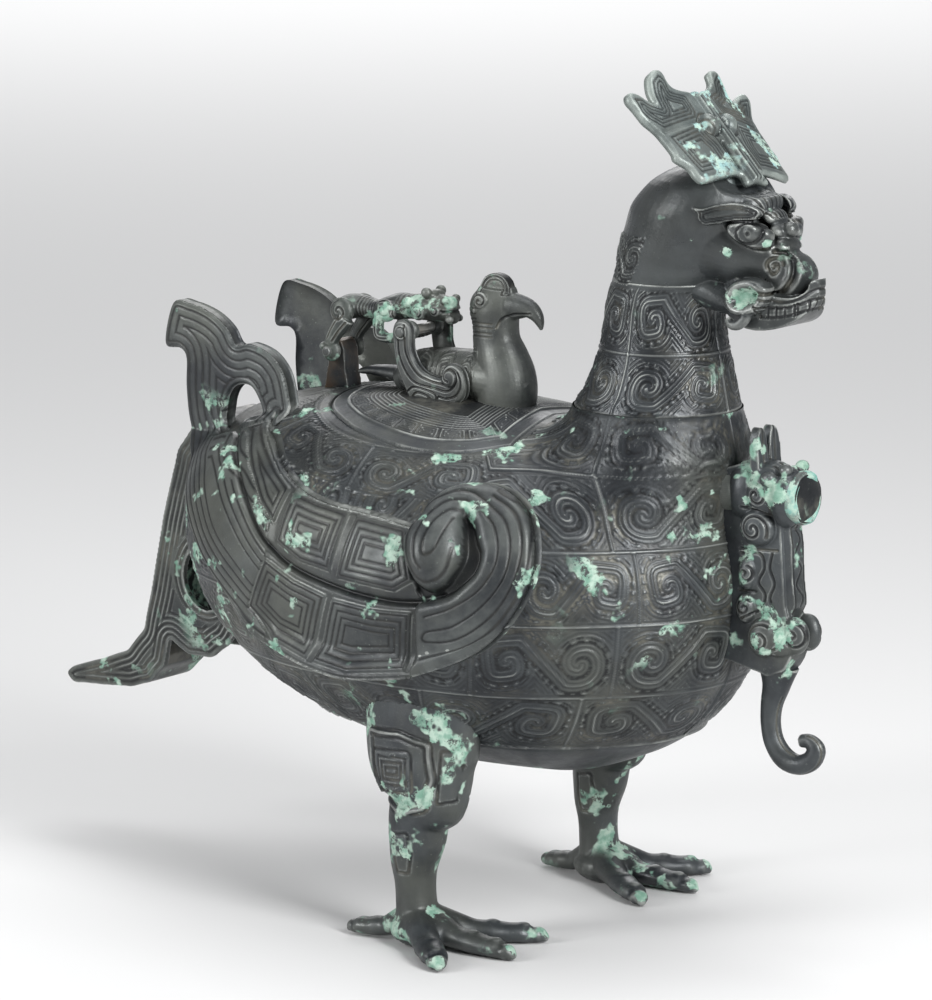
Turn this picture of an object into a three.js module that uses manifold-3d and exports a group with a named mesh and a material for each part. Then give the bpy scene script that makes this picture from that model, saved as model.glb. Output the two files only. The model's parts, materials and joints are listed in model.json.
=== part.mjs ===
// A bronze ritual ewer cast as a standing bird: hollow body, neck and head, crest, two wings,
// hollow tail, two legs, a small dragon on the chest that holds the spout, and a lid with a
// small bird on it, joined to the body by a beast that works as a link between two pins.
// Millimetres, +Z up. The bird faces +X and its right side is towards -Y.
import * as THREE from 'three';
import { mergeVertices } from 'three/addons/utils/BufferGeometryUtils.js';
import Module from 'manifold-3d';

const wasm = await Module();
wasm.setup();

// Driving sizes
const joint_gap = 0.3;        // room left between two pieces that rest on each other
const wall = 2.8;             // thickness of the cast shell of the body
const section_power = 2.15;   // roundness of a slice through the body
const widest_at = 0.55;       // height of the widest point of a slice, from its lowest point
// Body slices from tail to chest: x, top, bottom, half width
const body_rows = [
  [-127, 170, 150, 8], [-121, 184, 134, 30], [-108, 198, 117, 50], [-88, 207, 99, 68],
  [-55, 213, 82, 82], [-15, 215, 71, 89], [25, 213, 66, 90], [62, 207, 67, 84],
  [92, 199, 76, 69], [114, 188, 91, 50], [128, 173, 110, 31], [134, 158, 132, 11],
];
// Neck and head slices: z, middle x, half length in X, half width in Y
const neck_rows = [
  [150, 92, 40, 24], [168, 92, 41, 38], [186, 93, 39.5, 46], [200, 94, 38.5, 42],
  [209, 94.5, 36.5, 37.5], [221, 95, 33, 32.5],
  [227, 96.5, 30.3, 30], [241, 97.8, 26.4, 26], [257, 98, 23.6, 23.5], [266, 99.5, 23.5, 23],
  [276, 106, 26.5, 25], [287, 111.5, 29.5, 27.5], [299, 115.5, 29.5, 28], [309, 119, 25.5, 24.5],
  [315.5, 121.5, 18, 17.5], [319, 123, 9, 9],
];
const neck_seam_z = 219;      // the body's shoulder ends here and the neck starts
const shoulder_low_z = 150;
// Half outline of the mouth under the lid, seen from above, from the front middle to the rear
const mouth_half = [
  [45, 0], [48, -16], [51.4, -39], [39, -51], [24, -56.5], [5, -56.8], [-19, -51],
  [-37, -40.5], [-47, -30], [-52, -16], [-53.4, 0],
];
const lid_gap = 0.6;          // gap round the edge of the lid
const lid_thick = 3;
const ledge_width = 4.7, ledge_thick = 3;
const flange_gap = 2.2, flange_thick = 2.4, flange_depth = 8;
// The two pins the beast turns on
const rear_pin_x = -63, rear_pin_z = 228;
const front_pin_x = -22, front_pin_z = 240;
const pin_radius = 2, pin_gap = 0.25;
const rear_pin_half = 12.6, front_pin_half = 17;
const post_half_y = 5, post_half_x = 4.6;
const paw_inner_y = 5.6, paw_outer_y = 11.2;
const tip_inner_y = 12.1, tip_outer_y = 15.4;
// Wings
const wing_rise = 5, volute_rise = 9;
const flag_y = 41, flag_foot_z = 195, flag_lean = 0.72;
// Tail
const tail_half = 18, tail_wall = 3.2;
// Cast scrolls round the body: heights of the lines between their rows, and the scrolls on each
// half in the upper three rows, where they stand clear of the wings and legs
const row_lines = [86, 109.5, 139.4, 168, 196.4];
const row_scrolls = [12, 14, 12];
const relief_height = 0.7, relief_root = 1, row_line_width = 2.4, scroll_radius = 8;
const girth_middle = 3.5, girth_half_x = 131, girth_half_y = 90;
const relief_clearance = 1.5; // plain skin left round the pieces that stand on the body
// Legs
const leg_y = 65;
const leg_rows = [
  // z, middle x, half length in X, half width in Y
  [6, 24, 12, 12], [16, 23, 9.2, 9.6], [26, 23, 8.8, 9.2], [39, 25, 11.4, 11], [49, 27, 15.8, 12.5],
  [58, 28, 18.4, 14], [66, 27, 21, 14.5], [77, 26, 25.5, 14.5], [92, 26, 27, 13.5], [112, 27, 27, 12],
];
// Spout
const spout_z = 188.5, spout_bore = 7.25, spout_outer = 9.4, spout_lip = 10.6;
const spout_mouth_x = 166.3, spout_root_x = 121;

// Materials
const bronze = (name, colour, roughness = 0.5, metalness = 0.75) => {
  const made = new THREE.MeshStandardMaterial({ color: colour, roughness, metalness });
  made.name = name;
  return made;
};

// Making and joining solids
function solid(geometry) {
  let plain = geometry.clone();
  plain.deleteAttribute('normal');
  plain.deleteAttribute('uv');
  plain = mergeVertices(plain, 1e-4);
  const build = (order) => new wasm.Manifold(new wasm.Mesh({
    numProp: 3, vertProperties: Float32Array.from(plain.attributes.position.array),
    triVerts: Uint32Array.from(order) }));
  const order = Array.from(plain.index.array);
  const first = build(order);
  if (first.volume() > 0) return first;
  for (let i = 0; i < order.length; i += 3) [order[i], order[i + 1]] = [order[i + 1], order[i]];
  return build(order);
}

function piece(name, body, material) {
  const cut = body.getMesh();
  const geometry = new THREE.BufferGeometry();
  geometry.setAttribute('position', new THREE.Float32BufferAttribute(cut.vertProperties, 3));
  geometry.setIndex(Array.from(cut.triVerts));
  const made = new THREE.Mesh(geometry, material);
  made.name = name;
  return made;
}

const joined = (...parts) => parts.reduce((a, b) => a.add(b));

// Smooth value between the rows of a table, read at one value of its first column
function follow(rows, at, column) {
  const last = rows.length - 1;
  if (at <= rows[0][0]) return rows[0][column];
  if (at >= rows[last][0]) return rows[last][column];
  let i = 0;
  while (rows[i + 1][0] < at) i += 1;
  const slope = (k) => (rows[k + 1][column] - rows[k][column]) / (rows[k + 1][0] - rows[k][0]);
  const bend = (k) => {
    if (k === 0) return slope(0);
    if (k === last) return slope(last - 1);
    const a = slope(k - 1), b = slope(k);
    return a * b <= 0 ? 0 : (2 * a * b) / (a + b);
  };
  const span = rows[i + 1][0] - rows[i][0], t = (at - rows[i][0]) / span;
  const a = rows[i][column], b = rows[i + 1][column];
  const t2 = t * t, t3 = t2 * t;
  return a * (2 * t3 - 3 * t2 + 1) + b * (3 * t2 - 2 * t3)
    + span * (bend(i) * (t3 - 2 * t2 + t) + bend(i + 1) * (t3 - t2));
}

// Closed solid through a row of rings that all have the same number of points
function skin(rings) {
  const count = rings[0].length, points = [], order = [];
  rings.forEach((ring) => ring.forEach((p) => points.push(...p)));
  for (let r = 0; r + 1 < rings.length; r += 1) {
    for (let k = 0; k < count; k += 1) {
      const a = r * count + k, b = r * count + ((k + 1) % count);
      order.push(a, b, b + count, a, b + count, a + count);
    }
  }
  for (const [r, flip] of [[0, true], [rings.length - 1, false]]) {
    const middle = [0, 1, 2].map((j) => rings[r].reduce((sum, p) => sum + p[j], 0) / count);
    const hub = points.length / 3;
    points.push(...middle);
    for (let k = 0; k < count; k += 1) {
      const a = r * count + k, b = r * count + ((k + 1) % count);
      order.push(...(flip ? [hub, b, a] : [hub, a, b]));
    }
  }
  const geometry = new THREE.BufferGeometry();
  geometry.setAttribute('position', new THREE.Float32BufferAttribute(points, 3));
  geometry.setIndex(order);
  return solid(geometry);
}

// Slice of the body at x, grown outwards by grow
function body_slice(x, grow) {
  const first = body_rows[0][0], last = body_rows[body_rows.length - 1][0];
  const middle = (first + last) / 2, half = (last - first) / 2;
  const at = middle + (x - middle) / (1 + grow / half);
  const top = follow(body_rows, at, 1) + grow, bottom = follow(body_rows, at, 2) - grow;
  return { top, bottom, side: follow(body_rows, at, 3) + grow,
    level: bottom + (top - bottom) * widest_at };
}

// The body as a full solid, grown outwards by grow
function body_solid(grow, slices = 20, around = 30) {
  const first = body_rows[0][0], last = body_rows[body_rows.length - 1][0];
  const middle = (first + last) / 2, half = (last - first) / 2 + grow;
  const rings = [];
  for (let i = 0; i < slices; i += 1) {
    const x = middle - half * Math.cos((Math.PI * (i + 0.6)) / (slices + 0.2));
    const cut = body_slice(x, grow);
    const ring = [];
    for (let k = 0; k < around; k += 1) {
      const turn = (2 * Math.PI * k) / around, c = Math.cos(turn), s = Math.sin(turn);
      const y = Math.sign(c) * Math.abs(c) ** (2 / section_power) * cut.side;
      const lift = Math.sign(s) * Math.abs(s) ** (2 / section_power);
      ring.push([x, y, cut.level + lift * (s > 0 ? cut.top - cut.level : cut.level - cut.bottom)]);
    }
    rings.push(ring);
  }
  return skin(rings);
}

// Half width of the body at a point on its side; 0 above or below the body
function flank(x, z) {
  const cut = body_slice(x, 0);
  const part = z > cut.level ? (z - cut.level) / (cut.top - cut.level)
    : (cut.level - z) / (cut.level - cut.bottom);
  return part >= 1 ? 0 : cut.side * (1 - part ** section_power) ** (1 / section_power);
}

const corners = (points) => points.map(([a, b]) => new THREE.Vector2(a, b));

// Smooth closed or open line through points, as a list of corners
function curved(points, count, closed = false) {
  const path = new THREE.CatmullRomCurve3(
    points.map(([a, b]) => new THREE.Vector3(a, b, 0)), closed, 'centripetal');
  const made = path.getPoints(count).map((p) => [p.x, p.y]);
  return closed ? made.slice(0, -1) : made;
}

function extruded(outline, depth) {
  return new THREE.ExtrudeGeometry(new THREE.Shape(corners(outline)),
    { depth, bevelEnabled: false, curveSegments: 6 });
}

// Plate with its outline in X and Z, between two values of Y
function side_plate(outline, y0, y1) {
  const geometry = extruded(outline, y1 - y0);
  geometry.rotateX(Math.PI / 2);
  geometry.translate(0, y1, 0);
  return solid(geometry);
}

// Plate with its outline in X and Y, between two heights
function flat_plate(outline, z0, z1) {
  const geometry = extruded(outline, z1 - z0);
  geometry.translate(0, 0, z0);
  return solid(geometry);
}

function ball(x, y, z, rx, ry = rx, rz = rx, detail = 8) {
  const geometry = new THREE.SphereGeometry(1, detail, Math.round(detail * 0.7));
  geometry.scale(rx, ry, rz);
  geometry.translate(x, y, z);
  return solid(geometry);
}

function block(x0, x1, y0, y1, z0, z1) {
  const geometry = new THREE.BoxGeometry(x1 - x0, y1 - y0, z1 - z0);
  geometry.translate((x0 + x1) / 2, (y0 + y1) / 2, (z0 + z1) / 2);
  return solid(geometry);
}

// Round bar along Y
function cross_bar(x, z, radius, y0, y1, sides = 12) {
  const geometry = new THREE.CylinderGeometry(radius, radius, y1 - y0, sides);
  geometry.translate(x, (y0 + y1) / 2, z);
  return solid(geometry);
}

// Limb with an oval section swept through stations [x, y, z, half across, half in Y]
function limb(stations, steps = 8, sides = 8) {
  const path = new THREE.CatmullRomCurve3(
    stations.map(([x, y, z]) => new THREE.Vector3(x, y, z)), false, 'centripetal');
  const spread = stations.map((s, i) => [i, s[3], s[4] ?? s[3]]);
  const rings = [];
  for (let i = 0; i <= steps; i += 1) {
    const t = i / steps, at = path.getPoint(t), along = path.getTangent(t);
    const side = new THREE.Vector3(0, 1, 0).addScaledVector(along, -along.y).normalize();
    const across = new THREE.Vector3().crossVectors(along, side);
    const a = follow(spread, t * (stations.length - 1), 1);
    const b = follow(spread, t * (stations.length - 1), 2);
    const ring = [];
    for (let k = 0; k < sides; k += 1) {
      const turn = (2 * Math.PI * k) / sides;
      ring.push(at.clone().addScaledVector(across, a * Math.cos(turn))
        .addScaledVector(side, b * Math.sin(turn)).toArray());
    }
    rings.push(ring);
  }
  return skin(rings);
}

// Upright solid from level oval slices [z, middle x, half length, half width], between two heights
function tower(rows, y, steps, sides, thinner = 0, low = rows[0][0], high = rows[rows.length - 1][0]) {
  const rings = [];
  for (let i = 0; i <= steps; i += 1) {
    const z = low + ((high - low) * i) / steps, ring = [];
    for (let k = 0; k < sides; k += 1) {
      const turn = (2 * Math.PI * k) / sides;
      ring.push([follow(rows, z, 1) + (follow(rows, z, 2) - thinner) * Math.cos(turn),
        y + (follow(rows, z, 3) - thinner) * Math.sin(turn), z]);
    }
    rings.push(ring);
  }
  return skin(rings);
}

// Sheet over X and Z that lies between two values of Y given by functions of x and z
function sheet(outer, inner, x0, x1, z0, z1, across, up) {
  const rings = [];
  for (let j = 0; j <= up; j += 1) {
    const z = z0 + ((z1 - z0) * j) / up, front = [], back = [];
    for (let i = 0; i <= across; i += 1) {
      const x = x0 + ((x1 - x0) * i) / across;
      front.push([x, outer(x, z), z]);
      back.unshift([x, inner(x, z), z]);
    }
    rings.push([...front, ...back]);
  }
  return skin_of_strips(rings, across);
}

// Closed solid from strips whose end faces are ladders, not fans
function skin_of_strips(rings, across) {
  const count = rings[0].length, points = rings.flat(2), order = [];
  for (let r = 0; r + 1 < rings.length; r += 1) {
    for (let k = 0; k < count; k += 1) {
      const a = r * count + k, b = r * count + ((k + 1) % count);
      order.push(a, b, b + count, a, b + count, a + count);
    }
  }
  for (const [r, flip] of [[0, true], [rings.length - 1, false]]) {
    for (let i = 0; i < across; i += 1) {
      const a = r * count + i, b = a + 1;
      const d = r * count + count - 1 - i, c = d - 1;
      order.push(...(flip ? [a, c, b, a, d, c] : [a, b, c, a, c, d]));
    }
  }
  const geometry = new THREE.BufferGeometry();
  geometry.setAttribute('position', new THREE.Float32BufferAttribute(points, 3));
  geometry.setIndex(order);
  return solid(geometry);
}

const flipped = (outline) => outline.map(([a, b]) => [a, -b]).reverse();

// Mouth outline grown outwards by grow, seen from above
function mouth_outline(grow) {
  const half = mouth_half.map(([x, y]) => {
    const away = new THREE.Vector2(x + 1, y).normalize();
    return [x + away.x * grow, y + away.y * grow];
  });
  return [...half, ...flipped(half).slice(1, -1)];
}

// Pieces fixed to the body
// The body with its shoulder up to the seam of the neck, as a full solid grown outwards by grow
function whole_body(grow, top = neck_seam_z) {
  return body_solid(grow)
    .add(tower(neck_rows, 0, 10, 24, -grow, shoulder_low_z, top));
}

const clear_of_body = whole_body(joint_gap);

// Outline with each corner moved outwards by the same amount
function grown(outline, amount) {
  const way = THREE.ShapeUtils.isClockWise(corners(outline)) ? -1 : 1;
  return outline.map(([x, z], i) => {
    const before = outline.at(i - 1), after = outline[(i + 1) % outline.length];
    const out = new THREE.Vector2(after[1] - before[1], before[0] - after[0]).normalize();
    return [x + out.x * amount * way, z + out.y * amount * way];
  });
}

// Raised lines between the rows, and a round boss where each scroll lies, clear of other pieces
function scroll_relief() {
  const marks = row_lines.map((z) =>
    block(-101, 150, -110, 110, z - row_line_width / 2, z + row_line_width / 2));
  const girth = new THREE.EllipseCurve(girth_middle, 0, girth_half_x, girth_half_y, 0, Math.PI);
  row_scrolls.forEach((count, row) => {
    const z = (row_lines[row + 1] + row_lines[row + 2]) / 2;
    for (let i = 0; i < count; i += 1) {
      const far = girth.getPointAt((i + 0.5) / count);
      const reach = Math.hypot(far.x - girth_middle, far.y) + 10;
      for (const side of [-1, 1]) {
        const peg = new THREE.CylinderGeometry(scroll_radius, scroll_radius, reach, 6);
        peg.translate(0, reach / 2, 0);
        peg.rotateZ(Math.atan2(side * far.y, far.x - girth_middle) - Math.PI / 2);
        peg.translate(girth_middle, 0, z);
        marks.push(solid(peg));
      }
    }
  });
  const kept_plain = [side_plate(grown(wing_outline, relief_clearance), -115, 115),
    flat_plate(mouth_outline(6), 185, 260), block(112, 150, -15, 15, 70, 230),
    block(-150, -101, -60, 60, 60, 260),
    tower(leg_rows, -leg_y, 10, 16, -relief_clearance),
    tower(leg_rows, leg_y, 10, 16, -relief_clearance)];
  return joined(...marks).subtract(joined(...kept_plain))
    .intersect(whole_body(relief_height).subtract(whole_body(-relief_root)));
}

function body_shell() {
  const shell = whole_body(0).subtract(whole_body(-wall, neck_seam_z + 5));
  const mouth = flat_plate(mouth_outline(0), 150, 260);
  const ledge = flat_plate(mouth_outline(4), 150, 260)
    .intersect(body_solid(-wall + 0.3).subtract(body_solid(-lid_thick - joint_gap - ledge_thick)));
  const pocket = mouth.subtract(body_solid(-lid_thick - joint_gap));
  return shell.add(scroll_relief()).add(ledge).subtract(pocket)
    .subtract(flat_plate(mouth_outline(-ledge_width), 150, 260))
    .subtract(spout_passage(spout_outer + joint_gap, spout_root_x));
}

// Straight round bore of the spout, with its axis along X
function spout_passage(radius, from = spout_root_x - 30, to = spout_mouth_x + 30) {
  const geometry = new THREE.CylinderGeometry(radius, radius, to - from, 20);
  geometry.rotateZ(Math.PI / 2);
  geometry.translate((from + to) / 2, 0, spout_z);
  return solid(geometry);
}

function neck_head() {
  const hollow = tower(neck_rows, 0, 10, 16, wall, neck_seam_z - 5, 308);
  const jaw = [[131, 270], [134, 259], [143, 254.5], [154, 253.8], [162, 257], [168, 262.5], [171.5, 271],
    [168, 272.6], [163.5, 267], [156, 264.5], [147, 266], [140, 272]];
  const snout = limb([[118, 0, 291, 17, 20], [138, 0, 288, 14, 17], [152, 0, 282, 10, 11],
    [160, 0, 277.5, 9, 9], [166, 0, 274, 6.5, 7]], 7, 10);
  const parts = [tower(neck_rows, 0, 18, 24, 0, neck_seam_z + joint_gap), snout,
    side_plate(curved(jaw, 16, true), -13, 13).intersect(
      flat_plate([[120, -20], [150, -13], [180, -6], [180, 6], [150, 13], [120, 20]], 240, 290)),
    limb([[140, 0, 312, 7, 9], [150, 0, 304, 6, 8], [155, 0, 296, 6, 7], [157, 0, 287, 5, 6]], 6, 8),
    ball(159, 0, 296, 5, 5, 6),
    limb([[112, 0, 277, 13, 16], [132, 0, 270, 9, 14], [147, 0, 265, 6, 11]], 4, 10)];
  for (const side of [-1, 1]) {
    parts.push(ball(139, side * 19, 293, 7, 6, 5.5), ball(144, side * 13.5, 267, 9, 7, 9.5),
      ball(153, side * 9, 281, 6, 5, 6));
    parts.push(limb([[122, side * 25, 303, 4, 3], [136, side * 21, 303, 5, 3.5],
      [149, side * 12, 300, 4, 3.5]], 4, 6));
  }
  return joined(...parts).subtract(hollow);
}

// Crest plate: half outline across (Y) and up its own slope
function head_crest() {
  const half = [[0, -1], [7, -2.5], [8, 1], [30, 0], [31, 8], [29, 11], [29.5, 23], [31, 25], [36, 34],
    [40, 40], [37, 43], [31, 40], [26, 38.5], [26, 45], [21, 49], [15.5, 47.5], [13, 41], [6, 38],
    [0, 37.5]];
  const outline = [...half, ...half.slice(1, -1).reverse().map(([y, v]) => [-y, v])];
  const slope = new THREE.Matrix4().makeBasis(
    new THREE.Vector3(0, 1, 0), new THREE.Vector3(-0.6, 0, 0.8), new THREE.Vector3(0.8, 0, 0.6));
  slope.setPosition(134, 0, 311);
  const placed = (geometry) => solid(geometry.applyMatrix4(slope));
  const plate = extruded(outline, 6);
  plate.translate(0, 0, -6);
  const parts = [placed(plate)];
  const lump = (y, v, n, ry, rv, rn) => {
    const geometry = new THREE.SphereGeometry(1, 8, 6);
    geometry.scale(ry, rv, rn);
    geometry.translate(y, v, n);
    return placed(geometry);
  };
  for (const side of [-1, 1]) {
    parts.push(lump(side * 6.2, 27, 0.5, 4.2, 4.2, 4), lump(side * 20.5, 46, -3, 5, 2.8, 5.4),
      lump(side * 37.5, 40.5, -3, 4, 2.8, 5));
  }
  const ridge = new THREE.BoxGeometry(4, 30, 3);
  ridge.translate(0, 17, 0.5);
  const foot = new THREE.BoxGeometry(22, 12, 10);
  foot.translate(0, 5, -10);
  return joined(...parts, placed(ridge), placed(foot)).subtract(clear_of_head());
}

function clear_of_head() {
  const brow = limb([[140, 0, 312, 7.4, 9.4], [150, 0, 304, 6.4, 8.4], [155, 0, 296, 6.4, 7.4]], 6, 8);
  return tower(neck_rows, 0, 18, 24, -joint_gap, neck_seam_z + joint_gap, 319 + joint_gap).add(brow);
}

// Outline of the whole wing with its flag, in X and Z
const wing_outline = [
  [-121.6, 246.7], [-112, 247.2], [-101, 244], [-93, 238.5], [-88.2, 232], [-81, 233], [-71, 230],
  [-64, 223], [-61, 213.7], [-60.2, 204], [-66, 205.5], [-62.5, 203], [-52, 199.5], [-41.5, 193.5],
  [-24.4, 185.5], [-8.4, 181.5], [7.4, 180], [21.1, 178.6], [36.7, 177], [39.6, 184], [44, 189.5],
  [52.3, 192], [61.3, 191.6], [70.9, 188.2], [79.4, 181.4], [84.8, 171.6], [86.6, 159.6],
  [82.5, 146.8], [74.5, 134.5], [64.5, 126.8], [48.9, 120], [39.3, 117.4], [11.2, 114.1],
  [-9.1, 116.1], [-24.7, 119.7], [-45.5, 126.5], [-64, 139], [-78, 150], [-88, 161], [-98, 173],
  [-107, 184], [-113, 197], [-115, 212], [-114.9, 224], [-118, 228], [-126, 229.5],
];
const flag_window = [[-92.5, 199], [-92, 210], [-88, 215], [-80, 215.5], [-76, 210], [-73.5, 203]];
const volute_outline = [
  [36.7, 177], [39.6, 184], [44, 189.5], [52.3, 192], [61.3, 191.6], [70.9, 188.2], [79.4, 181.4],
  [84.8, 171.6], [86.6, 159.6], [82.5, 146.8], [74.5, 134.5], [64.5, 126.8], [48.9, 120],
  [41, 118.5], [41, 146], [33, 160],
];

function right_wing() {
  const standing = (x, z) => flag_y + flag_lean * Math.max(0, flag_foot_z - z);
  const away = (x, z, rise) => Math.max(flank(x, z) + rise, x < -30 ? standing(x, z) : 0);
  const outer = (rise) => (x, z) => -away(x, z, rise) - (z > flag_foot_z - 8 ? 1 : 0);
  const inner = (x, z) => -away(x, z, wing_rise) + 7;
  const whole = sheet(outer(wing_rise), inner, -130, 92, 108, 252, 20, 15)
    .intersect(side_plate(wing_outline, -115, -25)).subtract(side_plate(flag_window, -60, -25));
  const volute = sheet((x, z) => -flank(x, z) - volute_rise, (x, z) => -flank(x, z) + 4,
    26, 92, 112, 198, 8, 9).intersect(side_plate(volute_outline, -115, -25));
  return joined(whole, volute, ball(49, -87, 170, 12, 12, 19, 10)).subtract(clear_of_body);
}

// Copy of a solid on the other side of the X-Z plane
function mirrored(body) {
  const cut = body.getMesh();
  const geometry = new THREE.BufferGeometry();
  const at = Float32Array.from(cut.vertProperties);
  for (let i = 1; i < at.length; i += 3) at[i] = -at[i];
  geometry.setAttribute('position', new THREE.BufferAttribute(at, 3));
  geometry.setIndex(Array.from(cut.triVerts));
  return solid(geometry);
}

// Hollow tail with a scroll-shaped hole, narrower towards its foot and towards its tip
function tail_plate() {
  const outer = [[-104, 196], [-126, 196], [-138, 180], [-147, 150], [-155, 118], [-161, 99],
    [-172, 88], [-190, 81], [-207, 75], [-211, 71.5], [-207, 68.5], [-188, 70], [-170, 72],
    [-158, 76], [-150, 84], [-146, 96], [-136, 91], [-124, 91], [-114, 98], [-104, 112], [-96, 130]];
  const hollow = [[-90, 206], [-124, 190], [-134, 178], [-143, 150], [-150.5, 120], [-152, 104],
    [-150, 88], [-146, 70], [-110, 70], [-80, 110]];
  const scroll = [[-131.5, 138], [-136.5, 129], [-136, 120], [-131, 113.5], [-125, 111.5],
    [-119.5, 114], [-118.5, 120], [-123, 123.5], [-128, 123], [-130, 128], [-126, 135], [-125, 140]];
  const narrowed = (body) => {
    const cut = body.getMesh(), at = Float32Array.from(cut.vertProperties);
    for (let i = 0; i < at.length; i += 3) {
      const low = THREE.MathUtils.clamp((160 - at[i + 2]) / 85, 0, 1);
      const back = THREE.MathUtils.clamp((-155 - at[i]) / 55, 0, 1);
      at[i + 1] *= (1 - 0.22 * low) * (1 - 0.55 * back);
    }
    const geometry = new THREE.BufferGeometry();
    geometry.setAttribute('position', new THREE.BufferAttribute(at, 3));
    geometry.setIndex(Array.from(cut.triVerts));
    return solid(geometry);
  };
  const whole = side_plate(outer, -tail_half, tail_half)
    .subtract(side_plate(hollow, -tail_half + tail_wall, tail_half - tail_wall))
    .subtract(side_plate(scroll, -40, 40));
  return narrowed(whole).subtract(clear_of_body);
}

function right_leg() {
  const toe = (x, y, thick) => {
    const at = (a, b, ...rest) => [22 + (x - 22) * a, -leg_y + (y + leg_y) * b, ...rest];
    return limb([[22, -leg_y, 11, 8], at(0.45, 0.5, 5.5, thick), at(0.8, 0.84, 4.5, thick * 1.05),
      [x, y, 0.8, 1.6]], 7, 8);
  };
  const foot = joined(tower(leg_rows, -leg_y, 16, 16), toe(58, -98, 6), toe(72, -66, 6),
    toe(66, -34, 6), toe(-7, -69, 6.5));
  return foot.intersect(block(-60, 120, -130, 0, 0, 150)).subtract(clear_of_body);
}

function spout_dragon() {
  const side = [[120, 196], [141, 202], [156, 201], [158, 178], [160.5, 161], [162, 146], [166, 136],
    [166, 126], [160, 115], [150, 111], [143, 114], [128, 118], [122, 150]];
  const parts = [side_plate(side, -6.5, 6.5), ball(150, 0, 190, 12, 11.5, 13, 14)];
  for (const y of [-1, 1]) {
    parts.push(ball(159, y * 6, 133, 8.5, 6, 9.5), ball(145, y * 6.5, 133, 8, 5, 8.5),
      ball(142, y * 6.5, 173, 8, 5.5, 8));
    const ear = [[0, 0], [5.4, 0.5], [6, 8], [4.6, 14], [1.6, 17.2], [-1.6, 17.2], [-4, 13], [-4.6, 6]];
    const leaf = extruded(ear, 3.2);
    leaf.rotateX(Math.PI / 2);
    leaf.rotateZ(Math.PI / 2);
    leaf.translate(142.5, y * 6.2, 197.5);
    parts.push(solid(leaf));
  }
  parts.push(limb([[153, 0, 120, 7, 6], [150, 0, 106, 5, 4.6], [149.5, 0, 92, 4.6, 4.4],
    [155, 0, 82.5, 4.6, 4.4], [164, 0, 81, 4.4, 4.2], [171.9, 0, 86.5, 4.25, 4], [168, 0, 91.6, 3.6, 3.6],
    [162.5, 0, 91, 2.6, 2.6]], 16, 8));
  return joined(...parts).subtract(spout_passage(spout_outer + joint_gap, 80, 220))
    .subtract(spout_passage(spout_lip + joint_gap, spout_root_x + 31, 220)).subtract(clear_of_body);
}

function spout_tube() {
  const profile = [[spout_bore, 0], [spout_outer, 0], [spout_outer, 33], [spout_lip, 40],
    [spout_lip, spout_mouth_x - spout_root_x - 1.5], [spout_lip - 1.4, spout_mouth_x - spout_root_x],
    [spout_bore, spout_mouth_x - spout_root_x]];
  const bar = new THREE.LatheGeometry(corners([[0, 0], ...profile.slice(1, -1),
    [0, spout_mouth_x - spout_root_x]]), 24);
  bar.rotateZ(-Math.PI / 2);
  bar.translate(spout_root_x, 0, spout_z);
  return solid(bar).subtract(spout_passage(spout_bore, spout_root_x - 5, spout_mouth_x + 5));
}

function hinge_post() {
  const upright = block(rear_pin_x - post_half_x, rear_pin_x + post_half_x, -post_half_y, post_half_y,
    200, rear_pin_z);
  return joined(upright, cross_bar(rear_pin_x, rear_pin_z, post_half_x, -post_half_y, post_half_y))
    .subtract(cross_bar(rear_pin_x, rear_pin_z, pin_radius + pin_gap, -30, 30))
    .subtract(clear_of_body);
}

// The lid and the pieces that move with it
function lid_plate() {
  const cover = flat_plate(mouth_outline(-lid_gap), 150, 260)
    .intersect(body_solid(0)).subtract(body_solid(-lid_thick));
  const flange = flat_plate(mouth_outline(-ledge_width - flange_gap), 150, 260)
    .subtract(flat_plate(mouth_outline(-ledge_width - flange_gap - flange_thick), 140, 270))
    .intersect(body_solid(-lid_thick + 0.3).subtract(body_solid(-lid_thick - flange_depth)));
  return cover.add(flange);
}

function lid_bird() {
  const crest = curved([[8, 258], [8.8, 262], [12, 265], [16.2, 266.3], [20.6, 265], [23, 262.4],
    [23.6, 258]], 10);
  const parts = [
    limb([[-30, 0, 218, 7, 8], [-16, 0, 221, 10, 11], [2, 0, 222, 10.5, 11.4],
      [16, 0, 222, 11, 11.6], [27, 0, 221, 8.5, 9.5], [32, 0, 220, 4, 5]], 8, 12),
    tower([[213, 20, 13, 11.4], [222, 20.5, 13, 11.7], [230, 18, 12.4, 10.8], [238, 15.5, 10.6, 9],
      [245, 15, 10.2, 8.6], [251, 14.6, 11.4, 8.8], [256, 15, 10.2, 7.8], [260, 15, 7.5, 5.5]], 0, 12, 12),
    side_plate(crest, -2, 2),
    limb([[18, 0, 252.5, 6.4, 6.2], [27, 0, 252.8, 5.2, 4.8], [32.5, 0, 252, 3.6, 3.6],
      [36, 0, 249, 2.6, 2.4], [37.6, 0, 244.8, 1, 1]], 8, 10),
    limb([[-26, 0, 218.5, 4, 6], [-42, 0, 220, 2.6, 4.6], [-53, 0, 219.3, 1.3, 3.4]], 6, 10),
  ];
  for (const side of [-1, 1]) parts.push(ball(13, side * 7.6, 255, 3.2, 2.2, 3.2, 6));
  return joined(...parts).subtract(body_solid(joint_gap));
}

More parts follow.
